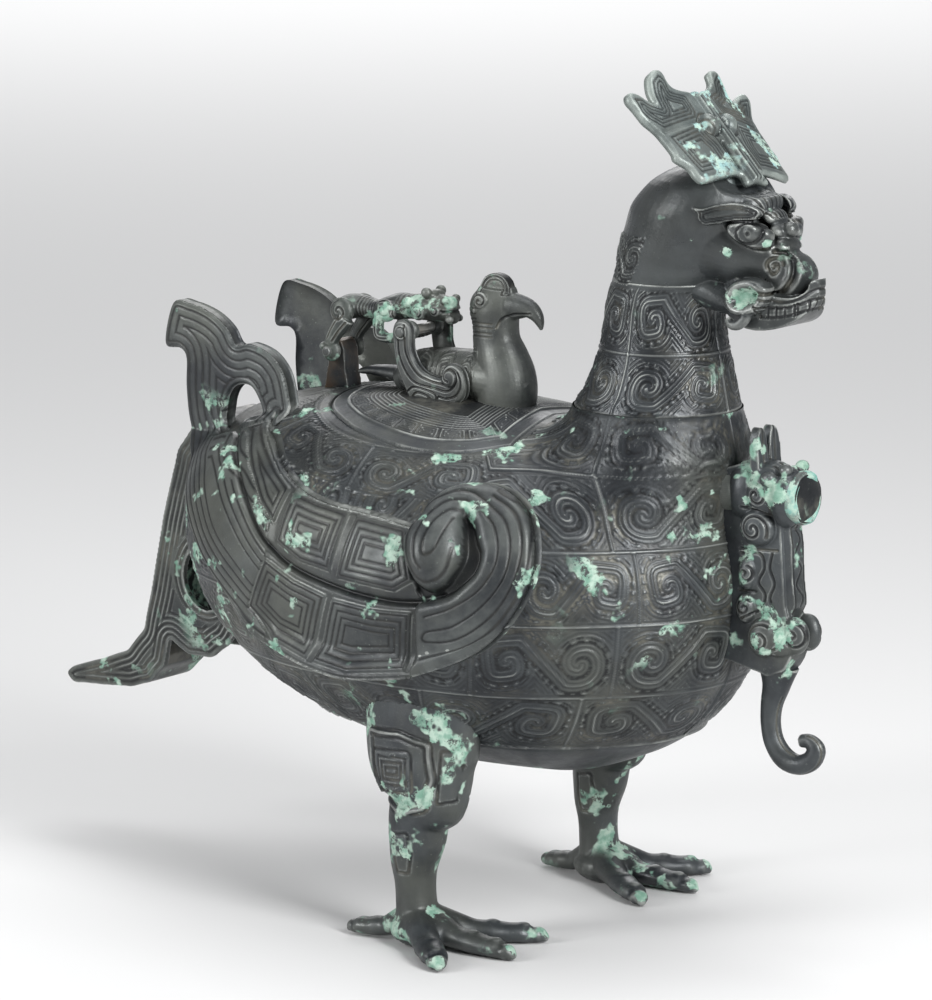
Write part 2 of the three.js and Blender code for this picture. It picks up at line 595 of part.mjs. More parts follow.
function lid_bird_wing() {
  const outline = [[-1.7, 222.9], [-0.2, 226.8], [3.3, 229.2], [7.9, 227.9], [10.4, 223.2], [10.7, 218.3],
    [8.9, 214.8], [4.9, 212], [-3.2, 210.5], [-9.3, 210.2], [-17.5, 211.5], [-19.5, 215.5], [-22.1, 220.2],
    [-24.6, 225.8], [-26.1, 233.1], [-26.8, 241.5], [-24, 245], [-19.6, 245.3], [-17, 242], [-16.9, 233.9],
    [-13.4, 226.8], [-7.3, 223.2]];
  const hole = cross_bar(front_pin_x, front_pin_z, pin_radius + pin_gap, -40, 0);
  return joined(side_plate(curved(outline, 30, true), -tip_outer_y, -tip_inner_y),
    ball(2.6, -tip_outer_y, 223, 4, 1.6, 4, 6)).subtract(hole).subtract(body_solid(joint_gap));
}

// The beast link and its pins
function link_beast() {
  const parts = [
    limb([[-58, 0, 241, 5, 5], [-53, 0, 243, 8.5, 8.5], [-43, 0, 245.5, 6.6, 7], [-32, 0, 247.5, 7.6, 8],
      [-22, 0, 249.5, 6, 6.4], [-14, 0, 250.5, 7.4, 7.4], [-7, 0, 249.5, 4.6, 5]], 10, 10)];
  for (const side of [-1, 1]) {
    const y = (side * (paw_inner_y + paw_outer_y)) / 2;
    const low = Math.min(side * paw_inner_y, side * paw_outer_y);
    const width = paw_outer_y - paw_inner_y;
    parts.push(
      limb([[-51, y, 246, 6.5, 3.4], [-56, y, 238, 5, 2.8], [-62, y, 231, 3.6, 2.8]], 4, 8),
      cross_bar(rear_pin_x, rear_pin_z, 4.6, low, low + width),
      limb([[-31, y, 249, 5.5, 3.2], [-33.5, y, 241, 3.4, 2.8], [-30, y, 238.6, 3.2, 2.8],
        [-24, y, 239.6, 3.2, 2.8]], 6, 8),
      cross_bar(front_pin_x, front_pin_z, 4.2, low, low + width),
      ball(-17.5, side * 6, 255.5, 2.6, 2.6, 2.8, 6), ball(-11, side * 5, 254.5, 2.4, 2.2, 2.4, 6));
  }
  return joined(...parts)
    .subtract(cross_bar(front_pin_x, front_pin_z, pin_radius + pin_gap, -30, 30))
    .subtract(cross_bar(rear_pin_x, rear_pin_z, pin_radius + pin_gap, -30, 30))
    .subtract(block(rear_pin_x - 12, rear_pin_x + 10, -post_half_y - 0.5, post_half_y + 0.5, 210, 234.5));
}

const pin = (x, z, half) => cross_bar(x, z, pin_radius, -half, half);

// Putting the pieces together
const dark = 0x4a4c4c, grey = 0x5b5d5a, green = 0x6d7f70, brown = 0x5d5244;
const parts = new THREE.Group();
parts.name = 'ritual_ewer';
const right = right_wing(), leg = right_leg(), small_wing = lid_bird_wing();
parts.add(
  piece('body_shell', body_shell(), bronze('body_bronze', dark, 0.48)),
  piece('neck_head', neck_head(), bronze('neck_bronze', grey, 0.46)),
  piece('head_crest', head_crest(), bronze('crest_bronze', green, 0.6, 0.5)),
  piece('right_wing', right, bronze('right_wing_bronze', grey, 0.48)),
  piece('left_wing', mirrored(right), bronze('left_wing_bronze', grey, 0.48)),
  piece('tail_plate', tail_plate(), bronze('tail_bronze', dark, 0.55)),
  piece('right_leg', leg, bronze('right_leg_bronze', dark, 0.55)),
  piece('left_leg', mirrored(leg), bronze('left_leg_bronze', dark, 0.55)),
  piece('spout_dragon', spout_dragon(), bronze('dragon_bronze', dark, 0.55)),
  piece('spout_tube', spout_tube(), bronze('spout_bronze', green, 0.55, 0.55)),
  piece('hinge_post', hinge_post(), bronze('post_bronze', brown, 0.6, 0.5)),
  piece('lid_plate', lid_plate(), bronze('lid_bronze', dark, 0.42)),
  piece('lid_bird', lid_bird(), bronze('lid_bird_bronze', grey, 0.5)),
  piece('lid_bird_right_wing', small_wing, bronze('small_right_wing_bronze', grey, 0.5)),
  piece('lid_bird_left_wing', mirrored(small_wing), bronze('small_left_wing_bronze', grey, 0.5)),
  piece('link_beast', link_beast(), bronze('beast_bronze', grey, 0.5)),
  piece('front_pin', pin(front_pin_x, front_pin_z, front_pin_half), bronze('front_pin_bronze', dark)),
  piece('rear_pin', pin(rear_pin_x, rear_pin_z, rear_pin_half), bronze('rear_pin_bronze', dark)),
);

// The origin goes to the middle of the footprint, on the floor
const box = new THREE.Box3().setFromObject(parts);
const middle = box.getCenter(new THREE.Vector3());
for (const made of parts.children) made.geometry.translate(-middle.x, -middle.y, -box.min.z);

export default parts;
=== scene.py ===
# %% [markdown]
# # A bronze ritual ewer shaped as a standing bird
# The ewer is a hollow cast bird: a body, a neck with a crested head, two wings laid on the
# body, a hollow tail, two legs, and a small dragon on the chest that holds the spout. A lid with a
# small bird on it is tied to the body by a beast that turns on two pins. We first load the CAD
# model, which fixes every size and every hinge, and then build each casting over it.

# %% Load the CAD model
import json
import math

import bpy
import numpy as np
from mathutils import Matrix, Vector
from mathutils.geometry import delaunay_2d_cdt

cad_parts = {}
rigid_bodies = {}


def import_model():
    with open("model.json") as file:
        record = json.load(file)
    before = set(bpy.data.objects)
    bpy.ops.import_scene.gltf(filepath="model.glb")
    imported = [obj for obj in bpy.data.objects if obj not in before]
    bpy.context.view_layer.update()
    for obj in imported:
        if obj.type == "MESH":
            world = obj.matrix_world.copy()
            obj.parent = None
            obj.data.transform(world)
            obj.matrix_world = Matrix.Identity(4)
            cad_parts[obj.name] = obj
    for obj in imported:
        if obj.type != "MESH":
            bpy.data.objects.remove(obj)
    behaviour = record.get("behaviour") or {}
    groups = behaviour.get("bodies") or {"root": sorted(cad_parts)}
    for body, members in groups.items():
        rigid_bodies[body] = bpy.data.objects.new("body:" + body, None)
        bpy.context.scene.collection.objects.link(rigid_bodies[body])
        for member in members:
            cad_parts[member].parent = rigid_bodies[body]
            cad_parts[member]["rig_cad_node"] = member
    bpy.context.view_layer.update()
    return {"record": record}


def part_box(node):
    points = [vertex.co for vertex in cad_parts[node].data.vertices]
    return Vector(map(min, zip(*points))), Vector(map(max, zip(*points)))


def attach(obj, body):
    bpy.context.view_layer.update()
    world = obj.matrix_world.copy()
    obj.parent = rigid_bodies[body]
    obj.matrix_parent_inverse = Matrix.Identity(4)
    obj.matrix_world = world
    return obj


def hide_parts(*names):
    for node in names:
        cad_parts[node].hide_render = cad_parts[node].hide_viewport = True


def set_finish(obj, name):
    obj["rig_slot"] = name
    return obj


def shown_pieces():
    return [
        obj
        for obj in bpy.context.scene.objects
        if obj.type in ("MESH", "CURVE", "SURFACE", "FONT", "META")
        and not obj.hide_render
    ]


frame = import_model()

# %% [markdown]
# ## Drawing units
# All drawing is done in millimetres, with the same numbers as the CAD drawing. The CAD model moved
# its origin to the middle of the footprint, so one shift in X brings a drawn point to the frame.
# The rear pin tells us how large it is, because the drawing puts that pin at X = -63.

# %% From the drawing to the frame
rear_pin_at, front_pin_at, spout_level = (-63, 228), (-22, 240), 188.5
pin_low, pin_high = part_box("rear_pin")
shift = (pin_low.x + pin_high.x) * 500 - rear_pin_at[0]


def to_frame(points):
    return (np.asarray(points, float).reshape(-1, 3) + [shift, 0, 0]) * 0.001


print("shift in mm:", round(shift, 2))

# %% [markdown]
# ## Making a mesh from points and triangles
# Most castings here are covered with fine relief, which is far too much to push by hand. Their
# surfaces are computed as arrays of points, so we need one function that turns arrays into an
# object. It turns the faces outwards by checking the sign of the volume, and it stores a value per
# point which is 1 at the bottom of an engraved line and in hollows. The finish paints shade and lays dust
# where it is high.
# `finish_piece` says which body a piece moves with, which solid it stands for and what covers it.

# %% Helper: arrays to an object
def volume(points, faces):
    a, b, c = (points[faces[:, k]] for k in range(3))
    return np.einsum("ij,ij->i", a, np.cross(b, c)).sum() / 6


def new_piece(name, points, faces, recess_shade_and_dust=None):
    points, faces = to_frame(points), np.asarray(faces, np.int32)
    if volume(points - points.mean(0), faces) < 0:
        faces = faces[:, ::-1]
    mesh = bpy.data.meshes.new(name)
    mesh.vertices.add(len(points))
    mesh.vertices.foreach_set("co", points.astype(np.float32).ravel())
    mesh.loops.add(3 * len(faces))
    mesh.loops.foreach_set("vertex_index", np.ascontiguousarray(faces).ravel())
    mesh.polygons.add(len(faces))
    mesh.polygons.foreach_set("loop_start", np.arange(0, 3 * len(faces), 3, dtype=np.int32))
    mesh.update(calc_edges=True)
    mesh.validate()
    mesh.shade_smooth()
    # The value per point marks where the finish paints shade and lays dust: engraved lines and hollows.
    store = mesh.attributes.new("recess_shade_and_dust", "FLOAT", "POINT")
    values = np.zeros(len(mesh.vertices), np.float32)
    if recess_shade_and_dust is not None:
        values[: len(recess_shade_and_dust)] = recess_shade_and_dust
    store.data.foreach_set("value", values)
    piece = bpy.data.objects.new(name, mesh)
    bpy.context.scene.collection.objects.link(piece)
    return piece


def normals(points, faces):
    a, b, c = (points[faces[:, k]] for k in range(3))
    n = np.cross(b - a, c - a)
    out = np.zeros_like(points)
    for k in range(3):
        np.add.at(out, faces[:, k], n)
    return out / np.maximum(np.linalg.norm(out, axis=1), 1e-12)[:, None]


def finish_piece(piece, body, slot_name, node):
    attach(piece, body)
    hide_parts(node)
    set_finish(piece, slot_name)
    print(piece.name, len(piece.data.polygons), "faces")


# %% [markdown]
# ## Lines and distances in a flat drawing
# Engraved lines, panels and rounded edges all come from one question: how far is this point from
# that drawn line? `away` answers it for many points at once, and `within` tells if a point is
# inside a closed outline. `smooth` draws a soft curve through a few points.

# %% Helpers: flat drawing
def smooth(points, step=0.7, closed=False):
    p = np.asarray(points, float)
    p = np.vstack([p[-1], p, p[0], p[1]]) if closed else np.vstack([2 * p[0] - p[1], p, 2 * p[-1] - p[-2]])
    out = []
    for a, b, c, d in zip(p, p[1:], p[2:], p[3:]):
        count = max(2, int(np.linalg.norm(c - b) / step + 0.5))
        t = (np.arange(count) / count)[:, None]
        out.append(0.5 * (2 * b + (c - a) * t + (2 * a - 5 * b + 4 * c - d) * t**2
                          + (3 * b - a - 3 * c + d) * t**3))
    if not closed:
        out.append(p[-2][None])
    return np.vstack(out)


def split(points, step=0.7, closed=True):
    p = np.asarray(points, float)
    ends = np.vstack([p, p[:1]]) if closed else p
    out = []
    for a, b in zip(ends, ends[1:]):
        count = max(1, int(math.ceil(np.linalg.norm(b - a) / step)))
        out.append(a + (b - a) * (np.arange(count) / count)[:, None])
    return np.vstack(out if closed else out + [p[-1:]])


def away(p, line, closed=False):
    line = np.asarray(line, float)
    if closed:
        line = np.vstack([line, line[:1]])
    best = np.full(len(p), 1e9, np.float32)
    q = np.asarray(p, np.float32)
    for a, b in zip(line.astype(np.float32), line[1:].astype(np.float32)):
        d = b - a
        size = float(d @ d)
        if size < 1e-12:
            continue
        r = q - a
        t = np.clip((r @ d) / size, 0, 1)
        r = r - t[:, None] * d
        np.minimum(best, np.einsum("ij,ij->i", r, r), out=best)
    return np.sqrt(best).astype(float)


def within(p, loop):
    loop = np.asarray(loop, float)
    inside = np.zeros(len(p), bool)
    x, y = p[:, 0], p[:, 1]
    for (ax, ay), (bx, by) in zip(loop, np.roll(loop, -1, 0)):
        if ay != by:
            inside ^= ((ay > y) != (by > y)) & (x < (bx - ax) * (y - ay) / (by - ay) + ax)
    return inside


def step_up(value, low, high):
    t = np.clip((value - low) / (high - low), 0, 1)
    return t * t * (3 - 2 * t)


def ridge(distance, width):
    return np.exp(-((distance / width) ** 2))


# %% [markdown]
# ## Filling an outline with small triangles
# A plate with engraving needs many small, even triangles inside any outline, also with holes. We
# lay a honeycomb of points inside, and let a Delaunay triangulation join them to the outline.
# `plate` then lifts the front of the flat drawing onto its real surface, moves it along its own
# normals by the height of the relief, and closes the sides and the back.

# %% Helpers: fill an outline and raise a plate
def honeycomb(loops, step, keep=None):
    rim = np.vstack(loops)
    low, high = rim.min(0), rim.max(0)
    rows = np.arange(low[1] + step * 0.4, high[1], step * 0.866)
    cols = np.arange(low[0] + step * 0.4, high[0], step)
    grid = np.stack(np.meshgrid(cols, rows), -1)
    grid[1::2, :, 0] += step / 2
    p = grid.reshape(-1, 2)
    inside = within(p, loops[0])
    for hole in loops[1:]:
        inside &= ~within(p, hole)
    cell = lambda q: np.floor((q - low) / (step * 0.55)).astype(int) + 2
    taken = np.zeros(cell(high[None])[0] + 4, bool)
    at = cell(rim)
    for dx in (-1, 0, 1):
        for dy in (-1, 0, 1):
            taken[at[:, 0] + dx, at[:, 1] + dy] = True
    c = np.minimum(cell(p), np.array(taken.shape) - 1)
    inside &= ~taken[c[:, 0], c[:, 1]]
    if keep is not None:
        ij = np.stack(np.meshgrid(np.arange(len(cols)), np.arange(len(rows))), -1).reshape(-1, 2)
        inside[inside] = keep(p[inside], ij[inside])
    return p[inside]


def fill(loops, step, keep=None):
    rim = np.vstack(loops)
    inner = honeycomb(loops, step, keep)
    edges, start = [], 0
    for loop in loops:
        n = len(loop)
        edges += [(start + k, start + (k + 1) % n) for k in range(n)]
        start += n
    flat = [Vector(q) for q in np.vstack([rim, inner]).tolist()]
    points, _, faces, origin, _, _ = delaunay_2d_cdt(flat, edges, [], 1, 1e-7)
    points, faces = np.array([tuple(v) for v in points]), np.array(faces)
    for hole in loops[1:]:
        faces = faces[~within(points[faces].mean(1), hole)]
    where = np.zeros(len(flat), int)
    for k, made_from in enumerate(origin):
        where[made_from] = k
    return points, faces, where[: len(rim)], edges


def closed_plate(loops, step, front, back, height=None, coarse=4.0, keep=None):
    p, faces, rim, edges = fill(loops, step, keep)
    q, back_faces, back_rim, _ = fill(loops, coarse)
    top, recess_shade_and_dust = front(p), np.zeros(len(p))
    if height is not None:
        lift, recess_shade_and_dust = height(p)
        n = normals(top, faces)
        if (n * (top - back(p))).sum() < 0:
            n = -n
        top = top + n * lift[:, None]
    size = len(p)
    walls = []
    for a, b in edges:
        walls += [(rim[b], rim[a], size + back_rim[a]), (rim[b], size + back_rim[a], size + back_rim[b])]
    everything = np.vstack([faces, back_faces[:, ::-1] + size, np.array(walls)])
    return np.vstack([top, back(q)]), everything, recess_shade_and_dust


def plate(name, *args, **more):
    points, faces, recess_shade_and_dust = closed_plate(*args, **more)
    return new_piece(name, points, faces, recess_shade_and_dust)


def at_side(y):
    return lambda q: np.column_stack([q[:, 0], np.full(len(q), float(y)), q[:, 1]])


def mirror(name, piece):
    twin = piece.copy()
    twin.data = piece.data.copy()
    twin.name = twin.data.name = name
    bpy.context.scene.collection.objects.link(twin)
    twin.data.transform(Matrix.Scale(-1, 4, Vector((0, 1, 0))))
    twin.data.flip_normals()
    return twin


# %% [markdown]
# ## The shape of the body and the neck
# The body is a row of rounded slices from tail to chest, and the neck a stack of ovals. Each gives a
# function that says roughly how far a point is from its skin. Where the two meet, the real casting
# flows from one into the other, so the two distances are blended over 16 mm.

# %% The skin of the body and the neck as distances
body_rows = np.array([
    (-129, 160, 160, 0.5), (-127, 170, 150, 8), (-121, 184, 134, 30), (-108, 198, 117, 50),
    (-88, 207, 99, 68), (-55, 213, 82, 82), (-15, 215, 71, 89), (25, 213, 66, 90), (62, 207, 67, 84),
    (92, 199, 76, 69), (114, 188, 91, 50), (128, 173, 110, 31), (134, 158, 132, 11),
    (135.5, 145, 145, 0.5)], float)
neck_rows = np.array([
    (150, 92, 34, 20), (168, 92, 37, 33), (186, 93, 38.5, 44), (200, 94, 38.5, 42), (209, 94.5, 36.5, 37.5),
    (221, 95, 33, 32.5), (227, 96.5, 30.3, 30), (241, 97.8, 26.4, 26), (257, 98, 23.6, 23.5),
    (266, 99.5, 23.5, 23), (276, 106, 26.5, 25), (287, 111.5, 29.5, 27.5), (299, 115.5, 29.5, 28),
    (309, 119, 25.5, 24.5), (315.5, 121.5, 18, 17.5), (319, 123, 9, 9)], float)
power, widest_at, blend_width = 2.15, 0.55, 16


def table(rows, column):
    at = np.linspace(rows[0, 0], rows[-1, 0], 600)
    x, y = rows[:, 0], rows[:, column]
    slope = np.diff(y) / np.diff(x)
    before, after = slope[:-1], slope[1:]
    total = np.where(before + after == 0, 1, before + after)
    bend = np.concatenate([[slope[0]], np.where(before * after > 0, 2 * before * after / total, 0),
                           [slope[-1]]])
    i = np.clip(np.searchsorted(x, at) - 1, 0, len(x) - 2)
    h = x[i + 1] - x[i]
    t = (at - x[i]) / h
    value = (y[i] * (2 * t**3 - 3 * t**2 + 1) + y[i + 1] * (3 * t**2 - 2 * t**3)
             + h * (bend[i] * (t**3 - 2 * t**2 + t) + bend[i + 1] * (t**3 - t**2)))
    return lambda where: np.interp(where, at, value)


body_top, body_bottom, body_side = (table(body_rows, k) for k in (1, 2, 3))
neck_x, neck_a, neck_b = (table(neck_rows, k) for k in (1, 2, 3))


def body_distance(p):
    x, y, z = p.T
    top, bottom, side = body_top(x), body_bottom(x), body_side(x)
    level = bottom + (top - bottom) * widest_at
    half = np.maximum(np.where(z > level, top - level, level - bottom), 0.3)
    g = ((np.abs(y) / side) ** power + (np.abs(z - level) / half) ** power) ** (1 / power)
    past = np.maximum(np.abs(x - 3.25) - 132.2, 0)
    return np.hypot(y, z - level) * (1 - 1 / np.maximum(g, 1e-6)) + past * 4


def neck_distance(p):
    x, y, z = p.T
    dx = x - neck_x(z)
    g = np.hypot(dx / neck_a(z), y / neck_b(z))
    return np.hypot(dx, y) * (1 - 1 / np.maximum(g, 1e-6)) + np.maximum(150 - z, 0)


def skin_distance(p):
    a, b = body_distance(p), neck_distance(p)
    h = np.maximum(blend_width - np.abs(a - b), 0) / blend_width
    return np.minimum(a, b) - h * h * blend_width / 4


def reach_skin(origin, aim, low, high, inset=0.0):
    low, high = np.full(len(aim), float(low)), np.full(len(aim), float(high))
    for _ in range(22):
        middle = (low + high) / 2
        inside = skin_distance(origin + aim * middle[:, None]) < -inset
        low, high = np.where(inside, middle, low), np.where(inside, high, middle)
    return origin + aim * ((low + high) / 2)[:, None]


def flank(x, z):
    top, bottom, side = body_top(x), body_bottom(x), body_side(x)
    level = bottom + (top - bottom) * widest_at
    part = np.where(z > level, (z - level) / np.maximum(top - level, 0.3),
                    (level - z) / np.maximum(level - bottom, 0.3))
    return side * np.maximum(1 - np.clip(part, 0, 1) ** power, 0) ** (1 / power)


# %% [markdown]
# ## The scroll pattern
# The body and neck carry rows of an S made of two spirals: a squarish one and a round one, joined by
# a diagonal. Beside its line runs an echo line, then a strip of small battlements, then a border. We
# draw one S on a small sheet of 54 x 28.5 mm and look heights up on that sheet afterwards. Each
# next S is turned over, so that neighbours are mirror images as on the real vessel.

# %% Draw one scroll on a sheet
cell_wide, cell_high, sheet_step = 54.0, 28.5, 0.2
half_cell, half_row = cell_wide / 2, cell_high / 2


def half_scroll(square):
    t = np.linspace(0, 1, 70)
    angle = np.radians(118 - 450 * (1 - t))
    radius = 1.0 + 8.2 * t**0.95
    n = 2 + square * t
    c, s = np.cos(angle), np.sin(angle)
    g = (np.abs(c) ** n + np.abs(s) ** n) ** (1 / n)
    return np.stack([13.4 + radius * c / g, 0.2 + radius * s / g], 1)


def draw_scroll():
    right, left = half_scroll(2.6), -half_scroll(0.3)[::-1]
    line = split(np.vstack([right, left]), 0.8, closed=False)
    u, v = np.meshgrid(np.arange(-half_cell, half_cell, sheet_step),
                       np.arange(-half_row, half_row, sheet_step))
    p = np.stack([u.ravel(), v.ravel()], 1)
    best, along = np.full(len(p), 1e9), np.zeros(len(p))
    length = np.concatenate([[0], np.cumsum(np.linalg.norm(np.diff(line, axis=0), axis=1))])
    for a, b, start in zip(line, line[1:], length):
        d = b - a
        t = np.clip(((p - a) @ d) / (d @ d), 0, 1)
        far = np.linalg.norm(p - a - t[:, None] * d, axis=1)
        nearer = far < best
        best[nearer], along[nearer] = far[nearer], (start + t * np.linalg.norm(d))[nearer]
    border = np.minimum(half_cell - np.abs(p[:, 0]), half_row - np.abs(p[:, 1]))
    outer = step_up(best, 2.9, 3.3) * step_up(border, 1.3, 1.8)
    tooth = np.maximum(np.mod(along, 3.2) < 1.3, np.abs(best - 4.1) < 0.3) * (np.abs(best - 3.9) < 1.0)
    lift = np.maximum.reduce([
        0.75 * ridge(best, 0.55), 0.5 * ridge(best - 1.75, 0.36) * step_up(border, 0.4, 1.2),
        0.34 * tooth * outer, 0.5 * ridge(best - 5.6, 0.42) * outer, 0.3 * ridge(best - 7.3, 0.36) * outer,
        0.36 * ridge(best - 9.0, 0.36) * outer,
        0.75 * ridge(border, 0.5), 0.3 * ridge(border - 1.6, 0.32) * step_up(best, 4, 5)])
    # The low ground between the raised lines gets painted shade, and dust in the finish.
    low = 1 - np.clip(lift / 0.34, 0, 1)
    shade = low * (0.5 + 0.5 * (np.abs(best - 3.9) < 1.3))
    return lift.reshape(u.shape), shade.reshape(u.shape)


scroll_lift, scroll_shade = draw_scroll()


def scrolls(across, row_part, row, cells):
    place = across * cells
    cell = np.floor(place)
    u = (place - cell - 0.5) * cell_wide
    u = np.where((cell + row) % 2 == 0, u, -u)
    v = (row_part - 0.5) * cell_high
    high, wide = scroll_lift.shape
    i = np.clip((v + half_row) / sheet_step, 0, high - 1.001)
    j = np.clip((u + half_cell) / sheet_step, 0, wide - 1.001)
    a, b = i.astype(int), j.astype(int)
    s, t = i - a, j - b
    mix = lambda m: ((1 - s) * (1 - t) * m[a, b] + (1 - s) * t * m[a, b + 1]
                     + s * (1 - t) * m[a + 1, b] + s * t * m[a + 1, b + 1])
    return mix(scroll_lift), mix(scroll_shade)


print("scroll sheet", scroll_lift.shape)

# %% [markdown]
# ## Where each row of scrolls runs
# On the body the rows lie level, one above the other, and their spirals follow the outline of the
# belly. On the shoulder and neck they run round the neck. Round the mouth lies a ring of its own,
# with parts of a second, outside a plain border. Below 86 mm the belly stays smooth.

# %% Height of the relief at a point on the skin
mouth_half = [(45, 0), (48, -16), (51.4, -39), (39, -51), (24, -56.5), (5, -56.8), (-19, -51),
              (-37, -40.5), (-47, -30), (-52, -16), (-53.4, 0)]


def mouth_side(grow, step=1.0):
    p = np.array(mouth_half, float)
    out = p - [-1, 0]
    p = p + out / np.linalg.norm(out, axis=1)[:, None] * grow
    corner = [smooth(p[:3], step), smooth(p[2:], step)]
    line = np.vstack([corner[0][:-1], corner[1]])
    line[0, 1] = line[-1, 1] = 0
    return line


def mouth_loop(grow, step=1.0):
    half = mouth_side(grow, step)
    return np.vstack([half, (half[1:-1] * [1, -1])[::-1]])


belly_line, shoulder_line, neck_foot, head_foot = 86, 196.4, 219, 270
body_lines = np.array([belly_line, 109.5, 139.4, 168, shoulder_line])
neck_lines = np.array([shoulder_line, neck_foot, 243, head_foot, 293])
row_cells = [5, 6, 7, 6]
mouth_edge = mouth_side(0, 2.0)
turn_table = np.linspace(0, np.pi, 400)
half_long, half_wide = 131, 90
arc_steps = np.hypot(half_long * np.diff(np.cos(turn_table)), half_wide * np.diff(np.sin(turn_table)))
arc_table = np.concatenate([[0], np.cumsum(arc_steps)])
arc_table /= arc_table[-1]


def skin_relief(p):
    x, y, z = p[:, 0], np.abs(p[:, 1]), p[:, 2]
    lift, shade = np.zeros(len(p)), np.zeros(len(p))
    turn = np.arctan2(y / half_wide, (x - 3.5) / half_long)
    across = np.interp(turn, turn_table, arc_table)
    row = np.clip(np.searchsorted(body_lines, z) - 1, 0, 3)
    part = (z - body_lines[row]) / np.diff(body_lines)[row]
    for k in range(4):
        on = (row == k) & (z > belly_line) & (z <= shoulder_line)
        lift[on], shade[on] = scrolls(across[on], part[on], k, row_cells[k])
    neck = (z > shoulder_line) & ((x > 52) | (z > 217))
    turn = np.arctan2(y, x - neck_x(z)) / np.pi
    row = np.clip(np.searchsorted(neck_lines, z) - 1, 0, 3)
    part = (z - neck_lines[row]) / np.diff(neck_lines)[row]
    for k in range(4):
        on = neck & (row == k) & ((z <= head_foot) | (x < neck_x(z) - 6)) & (z < neck_lines[-1])
        a, b = scrolls(turn[on], part[on], k, 2)
        fade = 1 - step_up(z[on], head_foot - 2, head_foot) * (k == 2)
        lift[on], shade[on] = a * fade, b * fade
    top = (x < 52) & (z > 165) & (z < 217) & (y < 95)
    q = np.stack([x[top], -y[top]], 1)
    flat = away(q, mouth_edge)
    outside = np.hypot(flat, np.maximum(206 - z[top], 0) * 0.9)
    ring = (outside - 6.5) / 21
    turn = np.arctan2(y[top], x[top] + 3) / np.pi
    a, b = np.zeros(top.sum()), np.zeros(top.sum())
    for k in range(2):
        on = (ring > k) & (ring <= k + 1)
        a[on], b[on] = scrolls(turn[on], 1 - (ring[on] - k), k, 4)
    border = ring <= 0
    a[border] = 0.5 * ridge(outside[border] - 5.6, 0.6) - 0.3 * ridge(outside[border] - 4.4, 0.5)
    # The plain border gets a little painted shade and dust as well.
    b[border] = 0.3
    use = (ring < 1) | (z[top] > shoulder_line)
    at = np.flatnonzero(top)[use]
    lift[at], shade[at] = a[use], b[use]
    lift += 0.55 * ridge(z - belly_line, 0.7) - 0.25 * ridge(z - 84.3, 0.6)
    return lift, shade


# %% [markdown]
# ## Casting the two halves of the body
# We unroll one half of the body to a flat map of directions, seen from a point under the neck, and
# cut out the mouth and the ring where the neck stands. Points are close together where the scrolls
# are. They are wide apart on the smooth belly and wherever a side view puts the wing in front, which
# leaves the strip of back between the two wing flags coarse. The second half is a mirror of it.

# %% Body halves
eye_point = np.array([60.0, 0.0, 140.0])
globe, globe_size = np.array([3.5, 0.0, 145.0]), np.array([135.0, 95.0, 80.0])
map_scale = 110.0
fine_step, wall = 0.845, 2.8


def from_map(q, inset=0.0):
    t, f = q[:, 0] / map_scale, q[:, 1] / map_scale
    aim = np.stack([np.cos(f) * np.cos(t), np.cos(f) * np.sin(t), np.sin(f)], 1)
    aim = aim * globe_size + globe - eye_point
    aim /= np.linalg.norm(aim, axis=1)[:, None]
    return reach_skin(eye_point, aim, 20, 260, inset)


def to_map(p):
    d = np.asarray(p, float) - eye_point
    e, g = d / globe_size, (eye_point - globe) / globe_size
    a, b, c = (e * e).sum(1), (e * g).sum(1), (g * g).sum() - 1
    t = (-b + np.sqrt(np.maximum(b * b - a * c, 0))) / a
    s = g + e * t[:, None]
    east, north = -np.arctan2(np.abs(s[:, 1]), s[:, 0]), np.arcsin(np.clip(s[:, 2], -1, 1))
    return np.stack([east, north], 1) * map_scale


def on_top(line):
    low, high = np.full(len(line), 160.0), np.full(len(line), 217.5)
    for _ in range(20):
        middle = (low + high) / 2
        inside = skin_distance(np.column_stack([line, middle])) < 0
        low, high = np.where(inside, middle, low), np.where(inside, high, middle)
    return np.column_stack([line, (low + high) / 2])


def around_neck(z, count):
    turn = np.linspace(np.pi, 0, count)
    aim = np.stack([np.cos(turn), -np.sin(turn), np.zeros(count)], 1)
    return reach_skin(np.array([95.0, 0, z]), aim, 5, 70)


wing_outline = [
    (-121.6, 246.7), (-112, 247.2), (-101, 244), (-93, 238.5), (-88.2, 232), (-81, 233), (-71, 230),
    (-64, 223), (-61, 213.7), (-60.2, 204), (-66, 205.5), (-62.5, 203), (-52, 199.5), (-41.5, 193.5),
    (-24.4, 185.5), (-8.4, 181.5), (7.4, 180), (21.1, 178.6), (36.7, 177), (39.6, 184), (44, 189.5),
    (52.3, 192), (61.3, 191.6), (70.9, 188.2), (79.4, 181.4), (84.8, 171.6), (86.6, 159.6),
    (82.5, 146.8), (74.5, 134.5), (64.5, 126.8), (48.9, 120), (39.3, 117.4), (11.2, 114.1),
    (-9.1, 116.1), (-24.7, 119.7), (-45.5, 126.5), (-64, 139), (-78, 150), (-88, 161), (-98, 173),
    (-107, 184), (-113, 197), (-115, 212), (-114.9, 224), (-118, 228), (-126, 229.5)]


